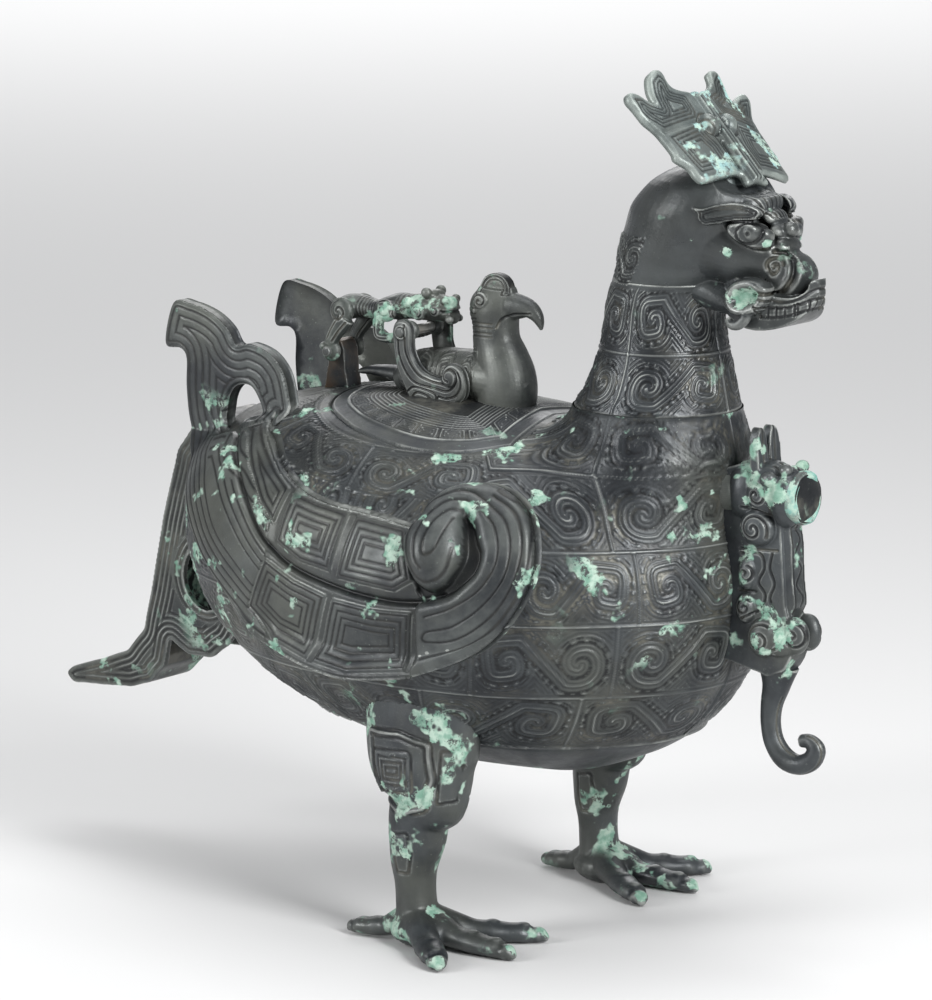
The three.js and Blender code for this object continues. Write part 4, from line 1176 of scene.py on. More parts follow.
def tail_clay():
    sides = []
    for y0, y1 in ((-18, -14.8), (14.8, 18)):
        points, faces, _ = closed_plate([tail_outer, tail_scroll[::-1]], 4.0, at_side(y0), at_side(y1))
        sides.append(new_piece("tail side", points, faces))
    k = [int(np.argmin(np.hypot(*(tail_outer - end).T))) for end in ((-104, 196), (-150, 84))]
    back = np.vstack([tail_outer[k[0]:k[1] + 1], tail_hollow[::-1]])
    tail = clay("tail_cast", sides + [slab(back, -17, 17)], 0.62, 2)
    p = drawn(tail)
    p[:, 1] *= pinch(p)
    redraw(tail, p)
    return tail


def tail_relief(p, n):
    q = p[:, [0, 2]]
    side = (np.abs(n[:, 1]) > 0.6) & (np.abs(p[:, 1]) > 15.5 * pinch(p))
    lift, shade = np.zeros(len(p)), np.zeros(len(p))
    # Painted shade on the inside of the hollow tail.
    shade[(np.abs(p[:, 1]) < 14.5 * pinch(p)) & (p[:, 0] > -150)] = 0.9
    rim, hole = away(q[side], tail_outer, True), away(q[side], tail_scroll, True)
    a, b = np.zeros(side.sum()), np.zeros(side.sum())
    for level in (2.3, 4.7, 7.1, 9.5, 11.9):
        c, d = engraved(rim - level, 0.42, 0.5)
        a, b = a + c * (hole > 6.8), np.maximum(b, d * (hole > 6.8))
    for level in (2.2, 4.4):
        c, d = engraved(hole - level, 0.42, 0.5)
        a, b = a + c * (rim > 2), np.maximum(b, d * (rim > 2))
    lift[side], shade[side] = a, b
    return lift, shade


tail = tail_clay()
carve(tail, tail_relief)
finish_piece(tail, "vessel", "tail_bronze", "tail_plate")

# %% [markdown]
# ## The lid
# The lid is a piece of the bird's back. It has a plain polished border, then a raised line, a band of
# square meanders and lines that echo the rim. A flange hangs from it and keeps it centred. Its top
# is looked up on the same skin as the back, so that the two always meet.

# %% Lid
lid_edge = mouth_loop(0, 2.0)


def lid_relief(q):
    d = away(q, lid_edge, True)
    lift, shade = np.zeros(len(q)), np.zeros(len(q))
    lift -= 0.9 * (1 - step_up(d, 0.4, 1.5))

    def raised(distance, width, height, on=1.0):
        np.add(lift, height * ridge(distance, width) * on, out=lift)

    raised(d - 7.6, 0.6, 1.0)
    along = np.arctan2(q[:, 1], q[:, 0] + 2) * 46
    u, v = np.abs(np.mod(along, 10.4) - 5.2), np.abs(d - 12.2)
    box = np.maximum(u - 4.2, v - 3.0)
    band = (d > 8.4) & (d < 16)
    for level in (0, -1.3, -2.4):
        raised(box - level, 0.34, 0.6, band)
    for level in (16.8, 18.6, 20.4, 22.2, 24, 26, 28):
        raised(d - level, 0.4, 0.55)
    # Painted shade, and dust in the finish, on the low ground between the raised lines inside the border.
    shade[:] = np.where(d > 8, 0.9 * (1 - np.clip(lift / 0.4, 0, 1)), 0)
    return lift, shade


lid_step = 0.5
lid = plate("lid_top", [mouth_loop(-0.6, 1.2)], lid_step, on_top, under_skin(3.0), lid_relief)
finish_piece(lid, "lid", "lid_bronze", "lid_plate")
outer, inner = mouth_loop(-7.2, 2), mouth_loop(-9.4, 2)
flange = plate("lid_flange", [outer, inner[::-1]], 3.0, under_skin(2.8), under_skin(10.6))
finish_piece(flange, "lid", "lid_bronze", "lid_plate")

# %% [markdown]
# ## The small bird on the lid
# A plump bird with a high smooth neck sits on the lid and serves as its grip. It has a half-disc
# crest with a double rim, a spiral ear and a long hooked beak. It is clay again, since it is round
# all over.

# %% Lid bird: the clay
def lid_bird_clay():
    parts = [roll([(-31, 0, 217.5, 6, 8), (-22, 0, 221, 10, 10.6), (-8, 0, 222.4, 10.6, 11.4),
                   (8, 0, 222.4, 11, 11.6), (20, 0, 221.6, 11, 11.6), (28, 0, 220.8, 8.4, 9.6),
                   (33, 0, 220, 3, 4)], sides=32),
             roll([(20, 0, 213, 13, 11.4), (20.4, 0, 218, 13.4, 11.8), (20, 0, 224, 12.9, 11.5),
                   (17.8, 0, 231, 11.8, 10.2), (15.6, 0, 238, 10.3, 8.9), (15, 0, 245, 10.1, 8.6),
                   (14.6, 0, 251, 11.2, 8.8), (15, 0, 256, 10, 7.6), (15.2, 0, 259.6, 7, 5)], sides=36),
             slab(smooth([(8, 257), (8.4, 260.6), (10.4, 264), (13.6, 265.9), (17.4, 266.2), (20.8, 264.8),
                          (23, 262), (23.6, 257)], 1, True), -2.3, 2.3),
             roll([(18, 0, 252.4, 6.6, 6.4), (26, 0, 253.0, 5.3, 5.0), (31.5, 0, 252.6, 3.9, 3.9),
                   (35.4, 0, 250, 2.9, 2.8), (37.3, 0, 246.6, 1.7, 1.6), (37.7, 0, 244.2, 0.6, 0.6)],
                   sides=24, step=0.8),
             roll([(-24, 0, 218.6, 5, 6.4), (-36, 0, 220, 3.4, 5.4), (-46, 0, 220.4, 2.2, 4.4),
                   (-53.5, 0, 219.4, 1.2, 3)])]
    for side in (-1, 1):
        parts += [lump((12.8, side * 7.6, 255), (3.6, 1.9, 3.6)),
                  lump((10.2, side * 7.6, 251.6), (1.4, 1.2, 2.6))]
    return clay("lid_bird_cast", parts, 0.42, 3)


bird = lid_bird_clay()

# %% [markdown]
# ## The small bird's engraving
# Lines follow the crest's rim, the ear, the beak and the collar, and scrolls cover the back. Each
# line is drawn once in side view and cuts both sides, because the bird is symmetric.

# %% Lid bird: the engraving
ear = spiral((13, 255), 3.2, 1.2, 100, 1)
crest_rim = smooth([(9.6, 258.6), (10, 260.6), (11.6, 263), (14, 264.4), (17.2, 264.7), (20, 263.6),
                    (21.8, 261.4), (22.2, 258.6)], 0.8)
beak_line = smooth([(20.4, 244.4), (22.4, 248.2), (26, 250), (30, 250.6), (34.4, 250.9)], 0.8)


def lid_bird_relief(p, n):
    lift, shade = np.zeros(len(p)), np.zeros(len(p))
    cut = graver(lift, shade, 0.32, 0.4)
    y, q = np.abs(p[:, 1]), p[:, [0, 2]]
    on = (y > 6) & (p[:, 2] > 250) & (p[:, 0] < 18)
    cut(away(q[on], ear), on, 0.36, 0.6)
    on = p[:, 2] > 257.4
    cut(away(q[on], crest_rim), on, 0.3, 0.5)
    cut(away(q[on], crest_rim) - 1.4, on, 0.26, 0.35)
    on = (y > 1) & (p[:, 0] > 19) & (p[:, 2] > 243) & (p[:, 2] < 253)
    cut(away(q[on], beak_line), on, 0.4, 0.5)
    on = (p[:, 0] < 19) & (p[:, 2] > 238) & (p[:, 2] < 249)
    for level in (240.6, 242, 244.2, 246):
        cut(p[on, 2] - level, on, 0.25, 0.35)
    feather = (p[:, 2] > 247) & (p[:, 2] < 253) & (p[:, 0] < 11)
    cut(np.abs(np.mod(p[feather, 2], 2.2) - 1.1), feather, 0.3, 0.25)
    body = (p[:, 2] > 214) & (p[:, 2] < 236) & (p[:, 0] < 12) & (p[:, 0] > -28)
    a, b = scrolls((p[body, 0] + 30) / 42, (p[body, 2] - 214) / 20 % 1, 0, 2)
    lift[body] += 0.5 * a
    # Painted shade and dust on the low ground of the scrolls.
    shade[body] = np.maximum(shade[body], b * 0.8)
    return lift, shade


carve(bird, lid_bird_relief)
finish_piece(bird, "lid", "lid_bird_bronze", "lid_bird")

# %% [markdown]
# ## The small bird's wings
# Each wing is a flat casting with a curved outline and a ball inside its spiral. Its raised tip
# holds the front pin. A plate made from the outline keeps the crisp edge that clay would round off.
# One is drawn, and the other is its mirror image.

# %% Small wings
small_rim = smooth([(-1.7, 222.9), (-1.2, 226), (1.4, 228.8), (5, 229.1), (8.6, 226.9), (10.4, 222.6),
                    (10.6, 218), (8.6, 214.4), (4, 212), (-3.2, 210.6), (-9.3, 210.4), (-16.6, 211.6),
                    (-19.5, 215.5), (-22.1, 220.2), (-24.6, 225.8), (-26.1, 233.1), (-26.6, 240),
                    (-25, 244), (-21.6, 245.2), (-18.2, 243.8), (-17, 240.6), (-16.7, 233.9),
                    (-14.4, 228.4), (-11, 225), (-6.6, 223.3)], 0.6, True)
small_lines = [smooth(line, 0.6) for line in (
    [(-23.4, 236.6), (-22.8, 231), (-20.4, 225.6), (-17, 221.4), (-12.4, 219.2), (-5.3, 218.4),
     (0.8, 217.6), (4.2, 219.2), (6, 222), (5.6, 225.4), (3, 226.8), (0.6, 225.4), (0.6, 222.8), (2.4, 222)],
    [(-20.2, 243), (-20, 236), (-19.4, 231.8), (-16.6, 226.8), (-12.6, 223), (-7, 221.2), (-1.4, 220.4),
     (1.6, 219.9)],
    [(-18.6, 216), (-15.4, 218), (-9.3, 217.4), (-4.4, 215.6), (-4.6, 211.4)],
    [(-3.2, 212), (-3, 215), (0.8, 214.6), (5.4, 216), (7.8, 219), (8.2, 222.6), (6.8, 225.8)],
    [(-16.6, 213.4), (-14, 215.8), (-9.4, 215.2), (-6.6, 213.6)])]


def small_wing_relief(q):
    rim = away(q, small_rim, True)
    lift = -1.1 * (1 - step_up(rim, 0, 1.2))
    shade = np.zeros(len(q))
    for line in small_lines:
        a, b = engraved(away(q, line), 0.34, 0.6)
        lift, shade = lift + a, np.maximum(shade, b)
    ball = np.clip(1 - (np.hypot(q[:, 0] - 2.6, q[:, 1] - 223) / 3.4) ** 2, 0, 1)
    lift += 1.3 * np.sqrt(ball)
    hole = np.hypot(*(q - front_pin_at).T)
    lift += 0.5 * ridge(hole - 2.6, 0.5)
    # Painted shade in the pin hole.
    shade = np.maximum(shade, hole < 2.1)
    return lift, shade


small_step = 0.34
small_wing = plate("small_wing_right", [small_rim], small_step, at_side(-15.4), at_side(-12.1),
                   small_wing_relief)
finish_piece(small_wing, "lid", "small_right_wing_bronze", "lid_bird_right_wing")
finish_piece(mirror("small_wing_left", small_wing), "lid", "small_left_wing_bronze", "lid_bird_left_wing")

# %% [markdown]
# ## The beast that works as a hinge
# A little beast joins the lid to the body. Its hind paws hold the pin in the post, and its fore
# paws hold the pin in the small bird's wing tips. It is clay with a slim back and a knobbly head,
# and its hind paws are pressed flat where they pass the post, so that nothing rubs when it turns.

# %% Beast: the clay
def beast_clay():
    parts = [roll([(-63, 0, 244, 3.6, 6), (-60, 0, 245.6, 5.2, 8.4), (-56, 0, 246.4, 5.1, 8.4),
                   (-51, 0, 246.4, 4.5, 6.2), (-45, 0, 246, 4.0, 5.8), (-39, 0, 247, 4.8, 7.4),
                   (-33, 0, 248.2, 5.6, 7.6), (-27, 0, 248.6, 5.2, 6.4), (-20, 0, 249, 5.6, 6.6),
                   (-13, 0, 249.2, 5.6, 6.2), (-8, 0, 248.4, 4.8, 5.2), (-5.6, 0, 247.6, 3.4, 3.8)],
                   sides=28),
             lump((-15.4, 0, 254.4), (3, 5.6, 2.4)), lump((-7.4, 0, 251.8), (2.8, 4.2, 2.6)),
             lump((-7, 0, 245.4), (2.8, 4, 2.6))]
    for side in (-1, 1):
        y = side * 8.4
        parts += [lump((-58, side * 7.6, 245), (5.8, 3.2, 5.8)),
                  lump((-35.4, side * 7.6, 247), (5.4, 3.2, 4.8)),
                  roll([(-55.4, y, 242.6, 4.2, 2.8), (-58.6, y, 238.6, 3.9, 2.8), (-61.6, y, 234.4, 3.2, 2.8),
                        (-63.2, y, 230.6, 3.0, 2.8)], sides=16, step=0.8),
                  lump((-63, y, 228), (4.5, 2.8, 4.5)), lump((-66.6, y, 229.6), (2.2, 2.2, 1.8)),
                  roll([(-38, y, 246, 2.5, 2.6), (-38.6, y, 241, 2.3, 2.6), (-38, y, 237, 2.2, 2.6),
                        (-34.6, y, 235.8, 2.1, 2.6), (-30, y, 236.4, 2.2, 2.6),
                        (-25.6, y, 238.4, 2.8, 2.6)], sides=16, step=0.8),
                  lump((-22, y, 240), (4.1, 2.8, 4.1)),
                  lump((-16.4, side * 5, 255.6), (2.3, 2.2, 2.3)), lump((-8, side * 4, 253), (2, 1.8, 1.9)),
                  lump((-19.6, side * 6.2, 247.6), (3.4, 2.2, 3.6)),
                  lump((-11.4, side * 5.6, 248.6), (2.6, 1.8, 2.4)),
                  lump((-25.4, side * 6, 251), (2.6, 2.2, 2.4)),
                  lump((-6, side * 3.4, 245.2), (1.8, 1.6, 1.6))]
    beast = clay("beast", parts, 0.4, 2)
    p = drawn(beast)
    beside_post = 5.65
    near_post = (p[:, 2] < 236) & (p[:, 0] < -50) & (np.abs(p[:, 1]) < beside_post)
    p[near_post, 1] = np.sign(p[near_post, 1]) * beside_post
    redraw(beast, p)
    return beast


beast = beast_clay()

# %% [markdown]
# ## The beast's engraving
# Spirals mark its hips and shoulders, lines run down its legs, and stripes cross its back and neck.
# The stripes come from a distance that repeats along X, which spares us drawing each of them.

# %% Beast: the engraving
hip, shoulder = spiral((-58, 245), 4.6, 1.3, 210, -1), spiral((-35, 247.4), 4.2, 1.3, 20, 1)
legs = [smooth(line, 0.6) for line in ([(-54, 240.6), (-58, 236.4), (-61, 232.4)],
                                       [(-57.6, 243), (-61, 238.4), (-63.6, 233.6)],
                                       [(-38.5, 244), (-38.9, 239), (-37.6, 236), (-32, 235.9)])]


def beast_relief(p, n):
    lift, shade = np.zeros(len(p)), np.zeros(len(p))
    cut = graver(lift, shade, 0.32, 0.45)
    y, q = np.abs(p[:, 1]), p[:, [0, 2]]
    on = y > 6
    for line in (hip, shoulder, *legs):
        cut(away(q[on], line), on, 0.34, 0.55)
    on = (p[:, 0] > -53) & (p[:, 0] < -41)
    cut(np.abs(np.mod(p[on, 0], 1.5) - 0.75), on, 0.26, 0.3)
    on = (p[:, 0] > -31) & (p[:, 0] < -23)
    cut(np.abs(np.mod(p[on, 0], 2.0) - 1.0), on, 0.28, 0.3)
    on = y > 4
    for x, z, r in ((-19.6, 247.6, 2.2), (-11.4, 248.6, 1.4)):
        cut(np.abs(np.hypot(q[on, 0] - x, q[on, 1] - z) - r), on, 0.28, 0.4)
    on = (p[:, 0] > -9) & (y < 6)
    cut(np.abs(p[on, 2] - 248.4), on, 0.5, 0.9)
    return lift, shade


carve(beast, beast_relief)
finish_piece(beast, "link", "beast_bronze", "link_beast")

# %% [markdown]
# ## Post and pins
# The post is a plain tapered bar with a round head, drilled for the rear pin. Both pins are round
# rods whose ends are hammered into small domes. The hole is a boolean cut, because its edge has to
# stay sharp and round, and a bevel makes the domes.

# %% Post and pins
def rod(name, at, radius, half):
    x, z = at
    bpy.ops.mesh.primitive_cylinder_add(vertices=48, radius=radius * 0.001, depth=2 * half * 0.001,
                                        location=((x + shift) * 0.001, 0, z * 0.001),
                                        rotation=(math.pi / 2, 0, 0))
    made = bpy.context.object
    made.name = made.data.name = name
    bpy.ops.object.transform_apply(location=True, rotation=True, scale=True)
    bevel = made.modifiers.new("round ends", "BEVEL")
    bevel.width, bevel.segments, bevel.limit_method, bevel.angle_limit = 0.0006, 3, "ANGLE", 1
    bpy.ops.object.modifier_apply(modifier="round ends")
    return made


def post_shape():
    post = clay("post_cast", [slab([(-70, 209), (-69, 214), (-67.6, 222), (-67, 228), (-65.4, 231.6),
                                    (-63, 232.6), (-60.6, 231.6), (-59, 228), (-58.6, 220), (-57.4, 214),
                                    (-57, 209)], -5, 5)], 0.5, 3)
    tool = rod("drill", rear_pin_at, 2.2, 30)
    hole = post.modifiers.new("hole", "BOOLEAN")
    hole.object, hole.operation, hole.solver = tool, "DIFFERENCE", "EXACT"
    bpy.context.view_layer.objects.active = post
    bpy.ops.object.modifier_apply(modifier="hole")
    bpy.data.objects.remove(tool)
    post.data.attributes.new("recess_shade_and_dust", "FLOAT", "POINT")
    return post


bpy.ops.object.select_all(action="DESELECT")
finish_piece(post_shape(), "vessel", "post_bronze", "hinge_post")
for name, node, at, half, body in (("pin_front", "front_pin", front_pin_at, 17, "link"),
                                   ("pin_rear", "rear_pin", rear_pin_at, 12.6, "vessel")):
    bpy.ops.object.select_all(action="DESELECT")
    made = rod(name, at, 2, half)
    bpy.ops.object.shade_smooth_by_angle(angle=0.6)
    made.data.attributes.new("recess_shade_and_dust", "FLOAT", "POINT")
    finish_piece(made, body, node + "_bronze", node)

# %% [markdown]
# ## The dragon and the spout
# A slim dragon climbs up the chest and holds the spout in its mouth. Seen from the side it is a flat
# body with round cheeks and haunches. A strip stands out down its front, and its tail hangs free
# and curls forward. Slabs give the flat parts and lumps the round ones. The clay round the spout is
# pushed out, so that it never cuts into the pipe.

# %% Dragon: the clay
def dragon_clay():
    side = smooth(split([(124, 196), (140, 201), (154, 200), (157, 190), (157.4, 178), (158.6, 160),
                         (159.6, 146), (161.6, 138), (163, 126), (159.6, 119.6), (152, 116.6), (142, 118.6),
                         (128, 122), (122, 150)], 8), 1.4, True)
    parts = [slab(side, -6.2, 6.2),
             slab(smooth(split([(156, 181), (160, 181), (161.8, 170), (162.4, 157), (163.6, 146),
                                (161, 140), (155, 142)], 6),
                         1.2, True), -4.6, 4.6),
             lump((149.6, 0, 190), (11.4, 11.4, 12.4), detail=40),
             lump((140, 0, 189), (10, 10.4, 12.6), detail=32),
             lump((159, 0, 188.4), (7.4, 12.2, 12.6), detail=40),
             roll([(153.4, 0, 120, 9, 6.4), (152.4, 0, 112, 6, 5.2), (150.4, 0, 104, 4.6, 4.4),
                   (150.0, 0, 96, 4.1, 4.1), (151.8, 0, 88.6, 4.2, 4.1), (156.6, 0, 82.8, 4.5, 4.2),
                   (163.2, 0, 80.9, 4.1, 4.1), (169.2, 0, 83.4, 4.1, 4), (171.4, 0, 88, 3.9, 3.7),
                   (168.4, 0, 91, 3.1, 3.1), (164.2, 0, 90.8, 2.6, 2.6)], sides=24, step=0.8)]
    for s in (-1, 1):
        parts += [lump((147.5, s * 7, 176), (8, 5, 7.2), detail=28),
                  lump((150.6, s * 6.6, 132), (7, 5, 7.8), detail=28),
                  lump((164, s * 4.6, 134), (6.2, 4.2, 7.6), detail=28), lump((157, s * 6, 131), (8, 4, 6)),
                  lump((142.4, s * 5.6, 157), (4, 4, 7)), lump((142, s * 6, 143), (4.4, 4, 6)),
                  lump((159.6, s * 6, 200), (2.8, 3, 2.6)), lump((154, s * 9.6, 196.4), (3.4, 3, 3))]
        ear = smooth([(0, -6), (5.6, -4), (6.2, 4), (5.6, 11), (3.4, 15.6), (0.4, 17.2), (-2.6, 15),
                      (-4.2, 9), (-4.4, 0)], 1, True)
        ear[:, 0] *= s
        standing = lambda x: lambda q: np.column_stack([x - 0.08 * q[:, 1], q[:, 0] * 0.74 + s * 3.9,
                                                        q[:, 1] + 198.4])
        points, faces, _ = closed_plate([ear if s > 0 else ear[::-1]], 4.0, standing(148.6), standing(144.4))
        parts.append(new_piece("ear", points, faces))
    dragon = clay("dragon", parts, 0.48, 2)
    p = drawn(dragon)
    r, clear = np.hypot(p[:, 1], p[:, 2] - spout_level), 9.75
    grow = np.where((r < clear) & (p[:, 0] > 150), clear / np.maximum(r, 0.1), 1)
    p[:, 1] *= grow
    p[:, 2] = spout_level + (p[:, 2] - spout_level) * grow
    redraw(dragon, p)
    return dragon


dragon = dragon_clay()

# %% [markdown]
# ## The dragon's engraving
# Spirals turn on the cheeks, the neck and the haunches, and a wavy line runs down the front strip.
# The normals tell where the skin faces forward, and the front lines are cut only there.

# %% Dragon: the engraving
curls = [spiral((147.5, 176), 6.4, 1.5, 150, -1), spiral((148.4, 189.4), 5.2, 1.3, 30, 1),
         spiral((150.6, 132), 6.2, 1.4, 200, -1), spiral((165, 134), 5.6, 1.3, -20, 1),
         spiral((142.6, 157), 3.6, 1.2, 0, 1), spiral((142.4, 143.6), 3.8, 1.2, 120, -1)]
lines = [smooth(line, 0.8) for line in (
    [(139, 166.6), (156, 167.4)], [(139, 164.8), (148, 165.4), (150, 160), (147.4, 154), (150.6, 149),
                                   (148, 143), (141, 139)],
    [(153.6, 166), (152.6, 160), (154.8, 154), (152.8, 148), (155, 143)], [(138.6, 149.8), (146, 150)],
    [(141, 184), (150, 183), (156, 180)], [(152.6, 127), (158, 129), (161, 134), (160, 139)])]
wave = smooth([(-2.2, 178), (1.8, 172), (-2.0, 166), (2.0, 160), (-2.0, 154), (1.6, 149), (0, 145)], 0.8)


def dragon_relief(p, n):
    lift, shade = np.zeros(len(p)), np.zeros(len(p))
    cut = graver(lift, shade, 0.45, 0.6)
    y, q = np.abs(p[:, 1]), p[:, [0, 2]]
    on = (y > 4.4) & (p[:, 2] > 120) & (p[:, 2] < 197)
    for line in curls + lines:
        cut(away(q[on], line), on)
    on = (n[:, 0] > 0.5) & (p[:, 2] > 142) & (p[:, 2] < 180)
    cut(away(p[on][:, [1, 2]], wave), on, 0.4, 0.45)
    cut(np.abs(y[on] - 3.7), on, 0.35, 0.45)
    on = (p[:, 2] > 199) & (n[:, 0] > 0.3)
    cut(np.abs(y[on] - 4.1), on, 0.4, 0.6)
    cut(np.abs(y[on]), on, 0.7, 1.0)
    on = (p[:, 2] < 108) & (n[:, 0] > 0)
    cut(np.abs(y[on] - 1.6), on, 0.3, 0.25)
    # Painted shade round the hole where the spout goes into the dragon's mouth.
    inner = np.hypot(p[:, 1], p[:, 2] - spout_level) < 10.2
    shade[inner & (p[:, 0] > 150)] = 0.8
    return lift, shade


carve(dragon, dragon_relief)
verdigris(dragon, [(160, -8, 134, 6), (149, -11, 131, 3.5), (153, -10, 127, 3), (157, -11, 190, 7),
                   (158, 4, 200, 6), (147, -4, 207, 3), (144, -10, 187, 3)])
finish_piece(dragon, "vessel", "dragon_bronze", "spout_dragon")

# %% [markdown]
# ## The spout
# The spout is a short pipe with a swollen lip, turned from one profile: we draw the profile once and
# spin it about the pipe's axis, then merge the seam and turn all faces outwards.

# %% Spout
def make_spout():
    profile = [(7.25, 121), (9.4, 121), (9.4, 152), (9.6, 156), (10.5, 160.5), (10.9, 164), (10.2, 166),
               (8.8, 166.5), (7.5, 165.6), (7.0, 162), (7.2, 150), (7.25, 135)]
    mesh = bpy.data.meshes.new("spout_cast")
    mesh.from_pydata([((x + shift) * 0.001, 0, (spout_level + r) * 0.001) for r, x in profile],
                     [(i, (i + 1) % len(profile)) for i in range(len(profile))], [])
    spout = bpy.data.objects.new("spout_cast", mesh)
    bpy.context.scene.collection.objects.link(spout)
    bpy.ops.object.select_all(action="DESELECT")
    bpy.context.view_layer.objects.active = spout
    spout.select_set(True)
    bpy.ops.object.mode_set(mode="EDIT")
    bpy.ops.mesh.select_all(action="SELECT")
    bpy.ops.mesh.spin(steps=72, angle=2 * math.pi, center=(0, 0, spout_level * 0.001), axis=(1, 0, 0))
    bpy.ops.mesh.select_all(action="SELECT")
    bpy.ops.mesh.remove_doubles(threshold=1e-6)
    bpy.ops.mesh.subdivide(number_cuts=2)
    bpy.ops.mesh.normals_make_consistent(inside=False)
    bpy.ops.object.mode_set(mode="OBJECT")
    spout.data.shade_smooth()

    def relief(p, n):
        turn = np.arctan2(p[:, 1], p[:, 2] - spout_level)
        wave = 0.35 * np.sin(3 * turn + 0.6) + 0.22 * np.sin(5 * turn + 2 + p[:, 0] * 0.25)
        # Painted shade inside the pipe.
        inside = np.hypot(p[:, 1], p[:, 2] - spout_level) < 8.3
        return wave * step_up(p[:, 0], 156, 166) * ~inside, np.where(inside & (p[:, 0] < 165), 0.9, 0.0)

    carve(spout, relief)
    return spout


spout = make_spout()
verdigris(spout, [(164, 4, 198, 7), (162, -8, 192, 6), (164, 8, 181, 7), (160, -6, 182, 5),
                  (165, -9, 186, 4)])
finish_piece(spout, "vessel", "spout_bronze", "spout_tube")

# %% [markdown]
# ## The legs
# Each leg has a wide thigh, a narrow shank and four thick toes with small claws, of which the front
# three have knuckles. Each part is a roll along a row of sections, because its thickness changes
# all the way. The clay is flattened at the ground, so that the ewer stands on its soles.

# %% Leg: the clay
leg_rows = [(2, 24, 10, 10), (6, 24, 9.8, 10), (16, 22.6, 8.2, 9), (26, 22, 8.2, 9), (34, 21.8, 9.8, 10.2),
            (43, 23, 11.8, 11.4), (52, 24, 12.8, 12.2), (57, 26, 15.4, 12.8), (61, 27.6, 18.2, 13.8),
            (67, 27.4, 21, 14.5), (77, 26, 25.5, 14.5), (92, 26, 27, 13.5), (104, 27, 27, 12)]


ankle_x, leg_y = 22, -65


def leg_clay():
    parts = [roll([(x, leg_y, z, a, b) for z, x, a, b in leg_rows], sides=40, step=2)]
    for x, y, thick in ((58, -98, 6.2), (72, -66, 6.0), (66, -34, 6.0), (-9, -69, 5.4)):
        along = lambda t: (ankle_x + (x - ankle_x) * t, leg_y + (y - leg_y) * t)
        at = lambda t, z, up, wide: (*along(t), z, up, wide)
        stations = [at(0.0, 11, 8.6, 8), at(0.28, 7.2, 6, 6.8), at(0.44, 5.2, 4.7, 5.8),
                    at(0.58, 4.8, 4.6, 6.3), at(0.7, 4.3, 4.1, 5.8), at(0.81, 4.2, 4.0, 5.7),
                    at(0.88, 3.3, 3.0, 4.4), at(0.93, 3.4, 3.3, 4.2), at(0.97, 2.4, 2.1, 2.8),
                    at(1.0, 1.3, 0.9, 1.2)]
        parts.append(roll([(*s[:3], s[3] * thick / 6.2, s[4] * thick / 6.2) for s in stations], sides=20,
                          step=1.4))
        for t, up in ((0.58, 8.6), (0.81, 7.3)) if x > 0 else ():
            parts.append(lump((*along(t), up), (2.8, 2.8, 1.3)))
    parts.append(lump((27, leg_y, 6.6), (15, 13.5, 7.6)))
    leg = clay("leg_right", parts, 0.66, 3)
    p = drawn(leg)
    p[:, 2] = np.maximum(p[:, 2], 0)
    redraw(leg, p)
    return leg


leg = leg_clay()

# %% [markdown]
# ## The leg's engraving
# Both sides of the thigh carry nested rectangles inside a raised line, and the knee and the shank
# each carry one closed line. The left leg is a mirror image of the right one.

# %% Leg: the engraving
thigh = smooth(split([(7, 88), (24, 89), (37, 86), (39, 72), (35, 60), (24, 56), (13, 61), (8, 74)], 6),
               1.2, True)
box = split([(11.6, 79), (27.6, 80), (28.2, 68), (13, 67)], 3)
knee = smooth(split([(43, 84), (41.4, 70), (40.4, 62), (46, 63), (49, 72), (50, 84)], 4), 1.2, True)
shank = smooth(split([(19, 47), (26, 48), (27, 39), (25, 31), (20, 31), (18.6, 39)], 4), 1.2, True)


def leg_relief(p, n):
    lift, shade = np.zeros(len(p)), np.zeros(len(p))
    cut = graver(lift, shade, 0.5, 0.5)
    q = p[:, [0, 2]]
    on = (np.abs(n[:, 1]) > 0.35) & (p[:, 2] > 56)
    d = away(q[on], thigh, True)
    lift[on] += 0.8 * ridge(d, 0.7)
    cut(d - 1.6, on)
    inner = on & within(q, box)
    d = away(q[inner], box, True)
    for level in (0.2, 2.5, 4.6):
        cut(d - level, inner)
    cut(away(q[on], knee, True), on)
    outer = on & within(q, thigh) & ~within(q, box)
    cut(away(q[outer], box, True) - 2.6, outer)
    on = (np.abs(n[:, 1]) > 0.3) & (p[:, 2] < 57) & (p[:, 2] > 28)
    cut(away(q[on], shank, True), on)
    return lift, shade


carve(leg, leg_relief)
verdigris(leg, [(36, -79, 64, 6), (40, -77, 90, 2.5), (14, -78, 66, 3.5), (24, -75, 40, 3.5),
                (58, -98, 6, 5), (72, -66, 6, 5), (66, -34, 6, 5), (30, -66, 13, 6)])
finish_piece(leg, "vessel", "right_leg_bronze", "right_leg")
finish_piece(mirror("leg_left", leg), "vessel", "left_leg_bronze", "left_leg")

# %% [markdown]
# ## The finish: old bronze
# Buried bronze turns grey-black with a soft sheen. Raised lines wear lighter, dust stays in
# the engraving, and pale green malachite grows in patches. Engraved lines and hollows are also
# darkened with painted shade. One function mixes all of these from noise
# in object coordinates, from the two values stored per point and from how sharp an edge is, so each
# casting only picks its own amounts.

